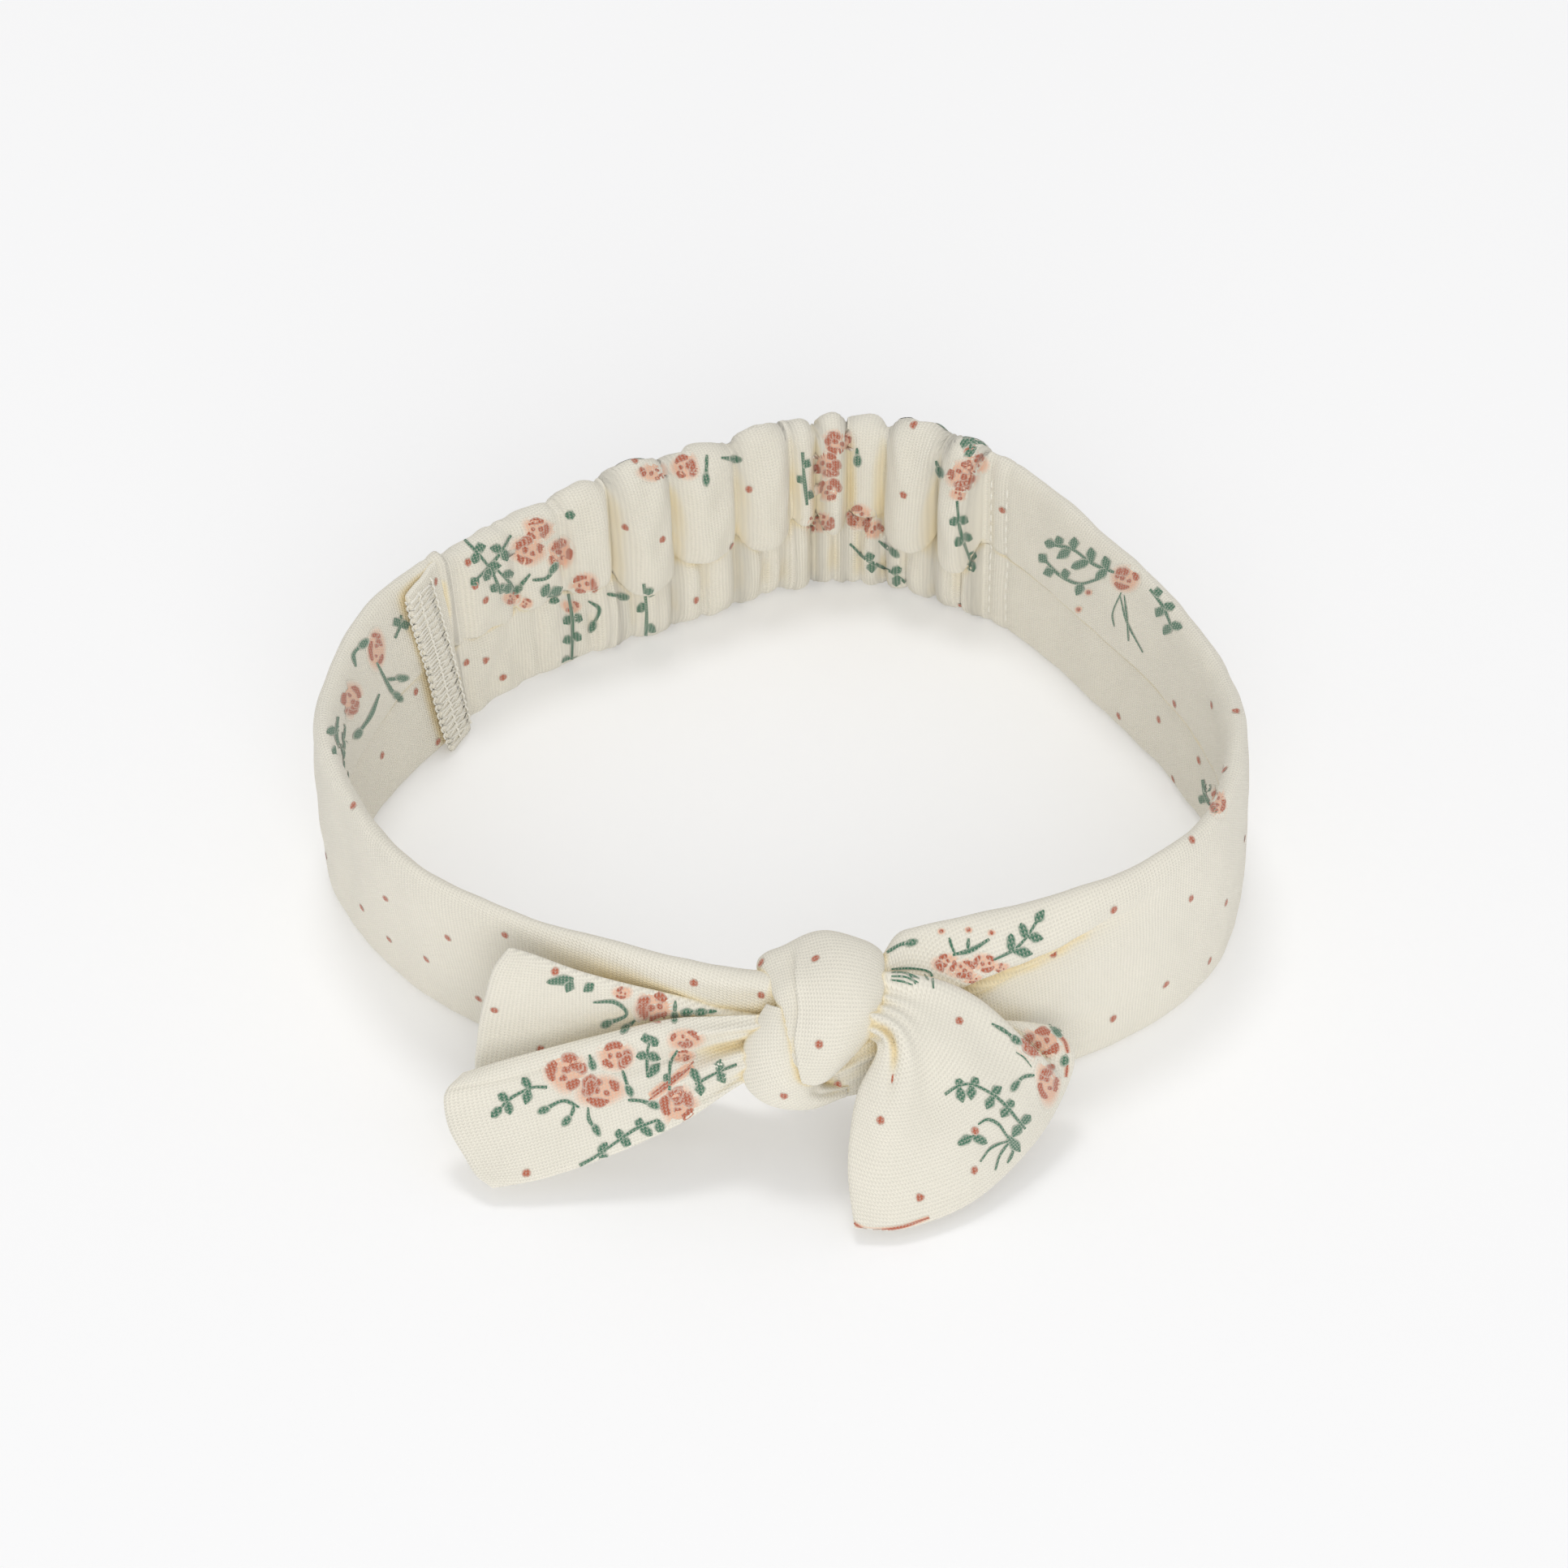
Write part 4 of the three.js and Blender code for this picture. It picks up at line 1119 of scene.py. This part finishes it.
def front_print():
    """The print as it lies on the faces that are seen from the front and above."""
    d = Drawing()
    dots = [
        (-60.2, -3), (-56.2, 4), (-48.4, 5.9), (-64, -10), (-55.7, -16), (-59, -17.3), (-55.2, -21.7),
        (-50, -24.5), (-50.4, -29.5), (-47, -21.5), (-42.7, -30), (-39, -21.1), (-21.3, -22.1),
        (-12.6, -27.8), (-3.2, -29.5), (-3.2, -25), (4.4, -24.4), (4.9, -36.4), (0, -43.6), (7.5, -42.1),
        (-40.5, -31.6), (-34, -37.1), (-32, -26.2), (-36, -54.4), (24.5, -33.1), (13.5, -47), (19, -57.8),
        (26.6, -54), (26.7, -48.5), (15.2, -41.2), (37.6, -23.7), (46, -32.8), (46.1, -17.6), (56.9, -16),
        (61.8, -16.6), (59.5, -24.7), (53.4, -28), (57, -7.8), (64.4, -7.6), (30.5, 38.3), (46.8, 9.5),
        (52.4, 9), (54.6, 11.2), (59.8, 11), (63.2, 10.2), (58, 3.3), (61.6, 2), (54.4, 0.7), (-22.2, 35.9),
        (-17, 34.2), (-4.9, 41.2), (-7.3, 33.3), (-12.3, 25.7), (-3.5, 25.7), (16.7, 40.4), (24.5, 25),
        (-48.7, 28.3), (-44.4, 17), (-41.7, 17.3), (-39.3, 14.9), (-36, 14.3), (-51.5, 12.9), (-44.2, 31),
        (-43.2, 27.7), (-41.7, 25.7),
    ]
    for x, y in dots:
        d.dot(x, y)
    flowers = [
        # left tail, lower ear
        (-30.5, -40.3, 2.7, 2.5, 5), (-25.7, -42.9, 2.9, 2.1, 6), (-23.5, -38, 2.3, 1.9, 5),
        (-13.8, -35.7, 2.3, 1.3, 5), (-14.2, -38, 1.6, 0.9, 4), (-14.7, -44.8, 2.6, 2.4, 6),
        # left tail, upper ear
        (-22.6, -29.2, 1.3, 0.8, 4), (-18.2, -31.2, 2.4, 2.1, 6),
        # right tail, behind its ridge
        (35.9, -36.2, 2.8, 2.1, 6), (36.9, -41.7, 1.5, 2.7, 6),
        # band, right of the knot
        (22.6, -25.1, 1.6, 1.3, 5), (25, -25.9, 1.9, 1.3, 5), (28.1, -25.1, 1.8, 1.2, 5),
        (30.4, -25.7, 1.1, 0.7, 3), (26.4, -27.2, 1.3, 0.7, 3),
        # band, left side
        (-57, 18.8, 1.1, 2.6, 6), (-60.5, 11.8, 1.4, 2.2, 6),
        # back left
        (-35.8, 32.6, 2.3, 1.8, 5), (-31.3, 32.2, 1.7, 2, 5), (-34.4, 35.6, 2, 1.5, 5),
        (-38.1, 26, 1.2, 0.9, 4), (-36.2, 25.3, 1, 0.7, 3), (-27.9, 27.9, 2, 1.3, 5),
        (-29.8, 24.8, 1.2, 0.9, 4),
        # casing
        (-18.3, 43.6, 1.9, 1.2, 4), (-13.8, 44.4, 1.8, 1.6, 5), (7.5, 47.8, 2, 1.6, 6),
        (6, 44.6, 1.9, 1.7, 6), (6.3, 41.2, 1.6, 1.5, 5), (5, 36.5, 2.2, 1.2, 6), (10.4, 37.4, 2, 1.5, 5),
        (12.6, 35.6, 1.4, 1.2, 4), (24.9, 43.2, 2, 1.9, 6), (27, 45, 1.5, 1.3, 4),
        (24.4, 40.6, 1.1, 0.9, 3),
        # back right
        (47.7, 28.7, 2, 1.5, 5), (60.6, -2.6, 1.1, 1.9, 5),
    ]
    for x, y, rx, ry, petals in flowers:
        d.flower(x, y, rx, ry, petals)
    streaks = [
        ([(-12.8, -39.2), (-15.5, -41.4), (-18.7, -43.8)], 1.5, 2),
        ([(38.2, -34.9), (39.2, -36), (39.7, -37.6)], 0.8, 1),
        ([(39.6, -39.2), (39.4, -41)], 0.7, 1),
        ([(8.7, -60.4), (11.5, -62.3), (16, -62), (20.3, -60.6)], 0.7, 1),
    ]
    for line, width, count in streaks:
        d.streak(line, width, count)
    sprigs = [
        ([(-33.1, -42.4), (-35.4, -42.5), (-38.3, -44), (-39.5, -45.2)],
         [(0.33, -1, 1.9), (0.36, 1, 2.3), (0.7, -1, 1.7), (0.74, 1, 2), (1, 0, 2)]),
        ([(-18.5, -35.2), (-19.1, -37.5), (-19.1, -41)],
         [(0.05, 1, 1.5), (0.05, -1, 1.5), (0.55, -1.2, 1.6), (0.55, 1.4, 2), (1, 2.1, 2.6)]),
        ([(-6.6, -39.2), (-9.5, -40.4), (-12.4, -42)],
         [(0.45, -2.2, 1.8), (0.45, 1.6, 1.8), (0.9, -1.6, 2.2), (0.9, 1.2, 1.9)]),
        ([(-28.6, -53.3), (-26.4, -52.1), (-23.5, -50.1), (-20.7, -48.2), (-17.6, -46.9)],
         [(0.3, 0.4, 2), (0.3, -1.2, 1.6), (0.55, 1, 1.5), (0.55, -1, 1.7),
          (0.78, 1, 1.4), (0.8, -1, 2.1), (1, -2, 2.2)]),
        ([(-16, -42.8), (-15.9, -39.2), (-14.9, -37.2)], [(0.2, 1, 1)]),
        ([(22.5, -43.4), (24.2, -42.3), (26.2, -42), (29, -43.3), (30.9, -44.9),
          (32.5, -46.8), (33.7, -48.2)],
         [(0.18, 1, 1.1), (0.18, -1.6, 2.4), (0.33, 1, 1.3), (0.33, -1.4, 2.2), (0.5, 1.3, 1.7),
          (0.52, -1.3, 2.2), (0.68, 1.5, 1.3), (0.7, -1.2, 1.6), (0.92, 1.8, 1.8), (0.92, -1.2, 2.2)]),
        ([(29.3, -24.6), (31.2, -23.7), (32.5, -22.9), (34, -21.3), (35.2, -19.4)],
         [(0.35, 1.2, 2.5), (0.38, -0.7, 2.9), (0.72, 1.1, 2.2), (0.75, -1, 2.3), (1, 0, 2.1)]),
        ([(-40.6, 30.4), (-38.6, 28.4), (-37.4, 26.6)], [(0.3, 1, 1.6), (0.6, -1, 1.6)]),
        ([(-44.9, 34.4), (-42.8, 32.2), (-40.8, 29.6), (-39.6, 26.6)],
         [(0.25, 1, 1.7), (0.3, -1, 1.7), (0.55, 1, 1.9), (0.6, -1, 1.9), (0.85, -1, 1.4), (0.9, 1, 1.6)]),
        ([(-38.2, 34.8), (-40.2, 31.6), (-42.8, 28.8)],
         [(0.3, 1, 1.8), (0.3, -1, 1.8), (0.7, 1, 1.6), (1, 0, 1.4)]),
        ([(-30.2, 26.6), (-29.6, 22.6), (-29.7, 17)],
         [(0.4, 1, 1.6), (0.4, -1, 1.6), (0.65, 1, 1.5), (0.7, -1, 1.5), (0.95, 1, 1.5), (0.95, -1, 1.5)]),
        ([(-19.6, 28), (-19.2, 24), (-19.4, 19.6)],
         [(0.1, 1, 1.6), (0.35, -1, 1.7), (0.7, 1, 1.6), (0.9, -1, 1.6)]),
        ([(24.2, 39.6), (24.6, 35.6), (26, 31.2)],
         [(0.3, 1, 1.5), (0.3, -1, 1.5), (0.6, 1, 1.6), (0.62, -1, 1.6), (0.9, 1, 1.3), (1, 0, 1.6)]),
        ([(46.2, 29.6), (43.2, 30.8), (40.4, 32.8), (38, 33.4)],
         [(0.1, -1, 2), (0.12, 1, 2), (0.35, -1, 2.2), (0.4, 1, 2.6),
          (0.65, -1, 1.8), (0.7, 1, 2.4), (0.9, -1, 1.5), (1, 0, 1.6)]),
        ([(44.8, 29), (41.4, 28), (38.6, 29.2), (36.8, 31)],
         [(0.3, 1, 1.8), (0.55, -1, 1.5), (0.8, 1, 1.6), (1, 0, 1.6)]),
        ([(51.2, 27.2), (53, 24.8), (54.2, 22)],
         [(0.5, 1, 1.7), (0.5, -1, 1.7), (0.95, 1, 1.7), (0.95, -1, 1.7), (0.1, 1, 1.4)]),
        ([(58.6, 0.6), (58.9, -1.6), (60.4, -4)], [(0.2, 1, 1.2), (0.5, -1, 1.3)]),
        ([(-54.4, 20.4), (-53.6, 22.4), (-53.6, 23.6)], [(0.4, 1, 1.4), (0.4, -1, 1.4)]),
        ([(-62.4, 9.4), (-62.6, 6.6), (-61.8, 4.4)],
         [(0.2, 1, 1.5), (0.3, -1, 1.5), (0.7, 1, 1.4), (0.8, -1, 1.4)]),
        ([(9.2, 33.6), (11.6, 31.4), (14.8, 29.8), (17, 28.2)],
         [(0.3, 1, 1.4), (0.4, -1, 1.5), (0.7, 1, 1.5), (0.8, -1, 1.5)]),
        ([(2.6, 46.4), (2.8, 43), (3.2, 39)], [(0.2, 1, 1.2), (0.5, -1, 1.2), (0.8, 1, 1.2)]),
    ]
    for stem, leaves in sprigs:
        d.sprig(stem, leaves)
    buds = [
        [(-28.6, -45.2), (-30.9, -44.3), (-33.6, -45.6)], [(-29.4, -44.8), (-29.6, -46), (-30.4, -47.1)],
        [(-27.4, -45.2), (-27.2, -47), (-26.2, -48.4)], [(-22.6, -40), (-22, -41.8), (-21.6, -42.9)],
        [(-21.8, -44.2), (-20, -44.3), (-18.2, -44.9)], [(-27.2, -37.8), (-26.8, -39.2)],
        [(-26.7, -30.5), (-23.6, -30.5), (-22, -32.2), (-24.8, -33.5)], [(-20.8, -33), (-22.2, -34.2)],
        [(-15.2, -30.3), (-15.3, -32.6)], [(-12.2, -31.9), (-13.6, -31.9)], [(-9.4, -31.8), (-11.6, -31.9)],
        [(35, -40.7), (33.4, -41), (32.3, -42.2)], [(29, -33.5), (30.9, -34.6), (32.4, -35.8)],
        [(37, -33.6), (38.2, -34.7)], [(39.4, -37.8), (39.2, -38.7)],
        [(14.4, -23.6), (16.2, -22.5), (17.8, -22.2)], [(-55.6, 14.6), (-53.4, 14.8)],
        [(-57, 17), (-55, 13.2), (-54, 12.2)], [(-59.9, 16.4), (-60.2, 18.2), (-58.8, 19.6)],
        [(-56.6, 12.6), (-57.8, 9.6), (-59.6, 7)], [(-27.4, 25.6), (-25.8, 24.4), (-26.8, 22)],
        [(-24.8, 26.6), (-22.6, 26.2)], [(-35.5, 29.4), (-37.3, 27.2)],
        [(-35.2, 28.5), (-33.2, 28.8), (-32.2, 30.2)], [(-10.8, 46), (-10.9, 42.6)],
        [(-8.8, 45.6), (-6.8, 45.4)], [(21.2, 45.2), (21.8, 43.6)], [(13.2, 34), (15.4, 32.4)],
        [(10.2, 47), (10.3, 45.2)],
    ]
    for line in buds:
        d.bud(line)
    leaves = [
        (-29.4, -27.2, -33.2, -27.7), (-29.6, -27.4, -30.4, -29.1), (-26.6, -27.9, -28, -29),
        (-30.6, 37.6, -29.2, 37.6), (-33.8, 26.2, -32.9, 28), (-32.9, 26.2, -31, 27.6),
        (-33.2, 26, -31.4, 25.6), (24.3, -50.4, 26.3, -49.2), (26.3, -49.2, 28.4, -50.2),
        (31.2, -49.2, 33, -51.4),
    ]
    for leaf in leaves:
        d.leaf(*leaf, width=1.5)
    strokes = [
        ([(27.1, -47.6), (28.4, -46.9), (30, -47.6), (31.2, -49.3), (32.7, -50.9)], 0.5),
        ([(31.6, -49.8), (29, -50.8), (27.4, -52.8)], 0.42),
        ([(31.6, -49.9), (30.2, -51.8), (29.5, -54)], 0.42),
        ([(32, -50.2), (31.9, -51.6), (31.2, -53)], 0.5),
        ([(32.4, -37.5), (33.6, -38.3), (34.6, -39.6)], 0.25),
        ([(15, -25.9), (17.8, -25.8), (20.4, -26.4), (20.9, -28.6)], 0.42),
        ([(15, -26.3), (16.9, -26.4), (18.9, -27.2)], 0.35),
        ([(15, -26.9), (16.9, -27), (18.8, -27.8)], 0.35),
        ([(14.9, -27.4), (16.5, -27.6), (18, -28.1)], 0.35), ([(17, -26.2), (17.8, -27), (18.4, -28)], 0.3),
        ([(19.6, -26.6), (20.2, -27.4)], 0.35), ([(23.6, -23.9), (26.2, -23.2), (28.7, -21.7)], 0.75),
        ([(23.1, -21.5), (23.4, -22.6), (23.9, -23.7)], 0.5), ([(25.8, -21.6), (25.7, -23)], 0.6),
        ([(47, 26.4), (48, 22.6), (50.2, 18.4)], 0.32), ([(47.6, 26.4), (48, 23), (48.2, 20)], 0.3),
        ([(47.2, 26.8), (46, 24), (46.2, 22)], 0.26),
    ]
    for line, width in strokes:
        d.stroke(line, width)
    for x, y in ((22, -20.6), (25.8, -20.4), (29, -20.8), (42.6, 26.8), (41.2, 24.4)):
        d.blob(x, y, 0.55, 0.45, PEACH_LAYER)
        d.blob(x, y, 0.3, 0.28, RUST_LAYER)
    return d


def print_through(drawing, names, cast):
    """Lays a drawing on the named cloths, and gives the points, faces and inks of the print on each.

    cast gives the number of the cloth, the place, the way out and the cloth place of each drawn point.
    """
    points, middles, strength, heights, triangles, layers = drawing.parts()
    owner, spot, way, flat = cast(points, middles)
    same = (owner[triangles] == owner[triangles[:, :1]]).all(1) & (owner[triangles[:, 0]] >= 0)
    corners = spot[triangles]
    longest = np.linalg.norm(corners - np.roll(corners, 1, 1), axis=2).max(1)
    kept = same & (longest < LONGEST_STEP)
    for index, name in enumerate(names):
        mine = kept & (owner[triangles[:, 0]] == index)
        if not mine.any():
            continue
        used, faces = np.unique(triangles[mine], return_inverse=True)
        faces = faces.reshape(-1, 3)
        p = spot[used] + heights[used, None] * way[used]
        normal = np.cross(p[faces[:, 1]] - p[faces[:, 0]], p[faces[:, 2]] - p[faces[:, 0]])
        inward = (normal * way[used][faces[:, 0]]).sum(1) < 0
        faces[inward] = faces[inward][:, ::-1]
        yield name, p, faces, layers[mine], strength[used], flat[used]


def print_object(name, p, faces, layer, strength, flat):
    obj = mesh_object(name, p, faces, PEACH_INK)
    obj.data.materials.append(RUST_INK)
    obj.data.materials.append(GREEN_INK)
    obj.data.polygons.foreach_set("material_index", layer.astype(np.int32))
    store_cloth_place(obj, flat)
    store_number(obj, "ink", strength)
    return obj


def cloth_tree(cloths):
    """All cloths as one search tree, with the first face of each."""
    corners, faces, first = [], [], []
    count = 0
    for cloth in cloths:
        first.append(len(faces))
        faces.extend((cloth.faces() + count).tolist())
        corners.append(cloth.points.reshape(-1, 3))
        count += corners[-1].shape[0]
    return BVHTree.FromPolygons(np.concatenate(corners).tolist(), faces), np.array(first), faces


def seen_from_front(cloths, tree, first, faces):
    """Casts drawn points from the viewing point through the picture plane on to the cloths."""
    normals = np.concatenate([c.normals.reshape(-1, 3) for c in cloths])
    flats = np.concatenate([c.flat().reshape(-1, 3) for c in cloths])
    corners = np.concatenate([c.points.reshape(-1, 3) for c in cloths])
    eye = VIEW_AIM - VIEW_FORWARD * VIEW_DISTANCE

    def cast(points, middles):
        owner = np.full(len(points), -1)
        spot, way, flat = np.zeros((3, len(points), 3))
        aims = np.where(np.isnan(middles), points, middles)
        for i, (x, y) in enumerate(aims):
            ray = Vector(VIEW_AIM + np.array([x, 0, 0]) + y * VIEW_UP - eye)
            hit, _, face, _ = tree.ray_cast(Vector(eye), ray)
            if hit is None:
                continue
            around = faces[face]
            weight = np.array(poly_3d_calc([Vector(corners[k]) for k in around], hit))
            owner[i] = np.searchsorted(first, face, side="right") - 1
            way[i] = unit(weight @ normals[around])
            side = unit(np.cross((0, 0, 1), way[i]))
            dx, dy = points[i] - aims[i]
            spot[i] = np.array(hit) + dx * side + dy * np.cross(way[i], side)
            flat[i] = weight @ flats[around] + (dx, dy, 0)
        return owner, spot, way, flat
    return cast


def spot_and_way(cloth, row, column):
    spot = cloth.at(row, column, np.zeros(len(row)))
    return spot, cloth.at(row, column, np.ones(len(row))) - spot


def laid_along(cloth, girth, length):
    """Lays drawn points on a cloth by their distance along it and round it."""
    rows, columns = cloth.points.shape[:2]

    def cast(points, _):
        row, column = points[:, 1] / girth * rows, points[:, 0] / length * columns
        flat = np.stack([points[:, 0], points[:, 1], 0 * row], -1)
        return np.zeros(len(row), int), *spot_and_way(cloth, row, column), flat
    return cast


def laid_behind(cloth, width):
    """Lays drawn points on the underside of a tail, by their distance from its root and from its middle."""
    rows, columns = cloth.points.shape[0] // 2, cloth.points.shape[1]
    length = cloth.along[0, -1]

    def cast(points, _):
        along, across = points[:, 0] / length, points[:, 1] / width + 0.5
        row = 2 * rows - np.arccos(1 - 2 * np.clip(across, 0, 1)) / math.pi * rows
        column = np.arcsin(np.clip(along, 0, 1)) * 2 / math.pi * (columns - 1)
        owner = np.where((across > 0) & (across < 1) & (along > 0) & (along < 1), 0, -1)
        flat = np.stack([points[:, 0], points[:, 1], 0 * row], -1)
        return owner, *spot_and_way(cloth, row, column), flat
    return cast


def band_back_print():
    """The print on the outside at the back and the inside at the front."""
    d = Drawing()
    outside = [(5.6, 30), (6.6, 34), (7.5, 28), (8.4, 35), (9.3, 29), (10.2, 33)]
    for k, (station, height) in enumerate(outside):
        d.spray(place_of(station), height, turn=0.5 * (-1) ** k, size=0.85, mirror=(-1) ** k)
    for k, station in enumerate((-3.4, -2.3, -1.2, 1.4, 2.4, 3.4)):
        d.spray(place_of(station), 1.5 * (-1) ** k, turn=2.6 + 0.6 * k, size=0.8, mirror=(-1) ** k)
    for k in range(24):
        d.dot(place_of(5.4 + 0.2 * k) + d.random.uniform(-1, 1), 23 if k % 2 else 42)
    for k in range(30):
        d.dot(place_of(-3.6 + 0.25 * k) + d.random.uniform(-1, 1), 11 if k % 2 else -11)
    return d


def tail_back_print():
    d = Drawing()
    d.spray(13, -3, turn=0.3, size=0.7)
    for x, y in ((8, 4), (19, 5), (24, -5), (16, -8), (27, 3)):
        d.dot(x, y)
    return d


# ---------------------------------------------------------------- the cloths and their print
band = band_tube()
CLOTHS = {
    "band_tube": band,
    "overlock_seam_allowance": seam_allowance(),
    "left_tail_lower_ear": left_lower_ear(),
    "left_tail_upper_ear": left_upper_ear(),
    "right_tail": right_tail(),
    "knot_wrap": knot_wrap(),
    "knot_under_lobe": knot_under_lobe(),
    "knot_shaded_strand": knot_shaded_strand(),
}
tree, first, faces = cloth_tree(list(CLOTHS.values()))
pieces = {name: [cloth.mesh(name + "_cloth", CREAM_JERSEY, tree)] for name, cloth in CLOTHS.items()}
cast = seen_from_front(list(CLOTHS.values()), tree, first, faces)
for name, *inked in print_through(front_print(), list(CLOTHS), cast):
    pieces[name].append(print_object(name + "_print", *inked))
along_band = laid_along(band, BAND_GIRTH, LOOP_LENGTH)
for name, *inked in print_through(band_back_print(), ["band_tube"], along_band):
    pieces[name].append(print_object(name + "_far_print", *inked))
for tail, width in (("left_tail_lower_ear", 17), ("left_tail_upper_ear", 22), ("right_tail", 36)):
    for name, *inked in print_through(tail_back_print(), [tail], laid_behind(CLOTHS[tail], width)):
        pieces[name].append(print_object(name + "_underside_print", *inked))


# ---------------------------------------------------------------- camera, light and floor
FLOOR_HALF = 4.0      # metres
FLOOR_GLOW = 0.16


def make_camera():
    """Looks along +Y and down at the loop."""
    data = bpy.data.cameras.new("camera")
    data.sensor_width = SENSOR
    data.lens = LENS
    obj = add_object("camera", data)
    obj.location = Vector((VIEW_AIM - VIEW_FORWARD * VIEW_DISTANCE + LOOP_SHIFT) * MM)
    obj.rotation_euler = (math.radians(90) - VIEW_ELEVATION, 0, 0)
    bpy.context.scene.camera = obj


def area_light(name, place, size, power):
    data = bpy.data.lights.new(name, "AREA")
    data.shape = "DISK"
    data.size = size
    data.energy = power
    obj = add_object(name, data)
    obj.location = place
    obj.rotation_euler = (-Vector(place)).to_track_quat("-Z", "Y").to_euler()


def make_studio():
    """A pale floor, a small light above, a broad one in front and an even white surround."""
    data = bpy.data.meshes.new("floor")
    half = FLOOR_HALF
    corners = [(-half, -half, 0), (half, -half, 0), (half, half, 0), (-half, half, 0)]
    data.from_pydata(corners, [], [(0, 1, 2, 3)])
    floor = add_object("floor", data)
    material, fill, _, _ = new_material("floor")
    # The floor glows a little, which keeps the shadows light and brightens the upright faces.
    fill(material.node_tree.nodes["Principled BSDF"], {
        "Base Color": (0.9, 0.9, 0.905, 1), "Roughness": 0.9,
        "Emission Color": (1, 1, 1, 1), "Emission Strength": FLOOR_GLOW,
    })
    data.materials.append(material)
    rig.stage(floor)
    area_light("key_above", (-0.1, 0.3, 1.3), 0.4, 3.0)
    area_light("fill_front", (0.1, -1.5, 0.62), 1.1, 8.4)
    world = bpy.data.worlds.new("studio")
    world.use_nodes = True
    world.node_tree.nodes["Background"].inputs["Color"].default_value = (1, 1, 1, 1)
    world.node_tree.nodes["Background"].inputs["Strength"].default_value = 0.6
    bpy.context.scene.world = world
    bpy.context.scene.view_settings.view_transform = "Standard"


make_camera()
make_studio()


# ---------------------------------------------------------------- how the pieces ride
def row_place(point):
    """A design place in the row frame."""
    return tuple((np.array(point, float) + LOOP_SHIFT) * MM)


# How far forward and back the cloth stretches, along Y.
STRETCH_FROM, STRETCH_TO = -20, 45


def bend_with_band(obj, slot, *nodes):
    """The back of the loop moves away as the elastic stretches, and the cloth between stretches evenly."""
    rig.blend(obj, "front", "back", start=row_place((0, STRETCH_FROM, 0)), end=row_place((0, STRETCH_TO, 0)))
    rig.slot(obj, slot)
    if nodes:
        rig.replaces(obj, *nodes)


BAND_NODES = ("band_front_right", "band_front_left", "band_knot_core", "gathered_casing")
bend_with_band(pieces["band_tube"][0], "printed_jersey", *BAND_NODES)
bend_with_band(pieces["overlock_seam_allowance"][0], "printed_jersey", "overlock_seam_allowance")
for obj in pieces["band_tube"][1:] + pieces["overlock_seam_allowance"][1:]:
    bend_with_band(obj, "printed_jersey")
overlock = thread("overlock_threads", overlock_lines(CLOTHS["overlock_seam_allowance"]))
bend_with_band(overlock, "sewing_thread", "overlock_thread")
anchor = thread("elastic_anchor_thread", anchor_lines(band))
bend_with_band(anchor, "sewing_thread", "elastic_anchor_stitches")
long_seam = thread("lengthwise_seam_thread", long_seam_lines(band))
LONG_SEAM_NODES = ("lengthwise_seam_right", "lengthwise_seam_left", "lengthwise_seam_casing")
bend_with_band(long_seam, "sewing_thread", *LONG_SEAM_NODES)
elastic_obj = elastic().mesh("elastic_strip_knit", ELASTIC, tree)
bend_with_band(elastic_obj, "knitted_elastic", "elastic_strip")

KNOT = {"knot_wrap": ["knot_wrap"], "knot_under_lobe": ["knot_under_lobe"], "knot_shaded_strand": []}
for name, nodes in KNOT.items():
    for obj in pieces[name]:
        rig.ride(obj, "front")
        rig.slot(obj, "printed_jersey")
    if nodes:
        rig.replaces(pieces[name][0], *nodes)

# Each tail bends just outside the knot: from a point that stays to one that goes along with the tail.
TAILS = {
    "left_tail_lower_ear": ("left_tail", (-9.5, -62, 16), (-15, -62, 15), ["left_tail_lower_ear"]),
    "left_tail_upper_ear": ("left_tail", (-9.5, -58, 17), (-15, -58, 17), ["left_tail_upper_ear"]),
    "right_tail": ("right_tail", (12.5, -60, 21), (18, -66, 16), ["right_tail_fold", "right_tail_panel"]),
}
for name, (body, root, free, nodes) in TAILS.items():
    for obj in pieces[name]:
        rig.blend(obj, "front", body, start=row_place(root), end=row_place(free))
        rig.slot(obj, "printed_jersey")
    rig.replaces(pieces[name][0], *nodes)

# Flat sizes of the closed, folded pieces: each is two layers of the strip it is made of.
SHEETS = {
    "band_tube": ((0.0315, 0.42), "gathered", ["floor"]),
    "overlock_seam_allowance": ((0.0105, 0.029), "folded", ["band_tube_cloth"]),
    "left_tail_lower_ear": ((0.018, 0.044), "folded", ["knot_wrap_cloth"]),
    "left_tail_upper_ear": ((0.020, 0.040), "folded", ["knot_wrap_cloth"]),
    "right_tail": ((0.036, 0.034), "folded", ["knot_wrap_cloth", "floor"]),
    "knot_wrap": ((0.016, 0.045), "folded", ["band_tube_cloth"]),
    "knot_under_lobe": ((0.0115, 0.019), "folded", ["band_tube_cloth"]),
    "knot_shaded_strand": ((0.012, 0.017), "folded", ["band_tube_cloth"]),
}
for name, (flat, held, rests_on) in SHEETS.items():
    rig.sheet(pieces[name][0], flat=flat, held=held, rests_on=rests_on, with_pieces=pieces[name][1:])
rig.sheet(elastic_obj, flat=(0.022, 0.105), held="stretched", rests_on=["band_tube_cloth"])

with open("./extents.json", "w") as handle:
    json.dump({"cad": [list(c) for c in cad_box], "visual": [list(c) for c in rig.bounds()]}, handle)
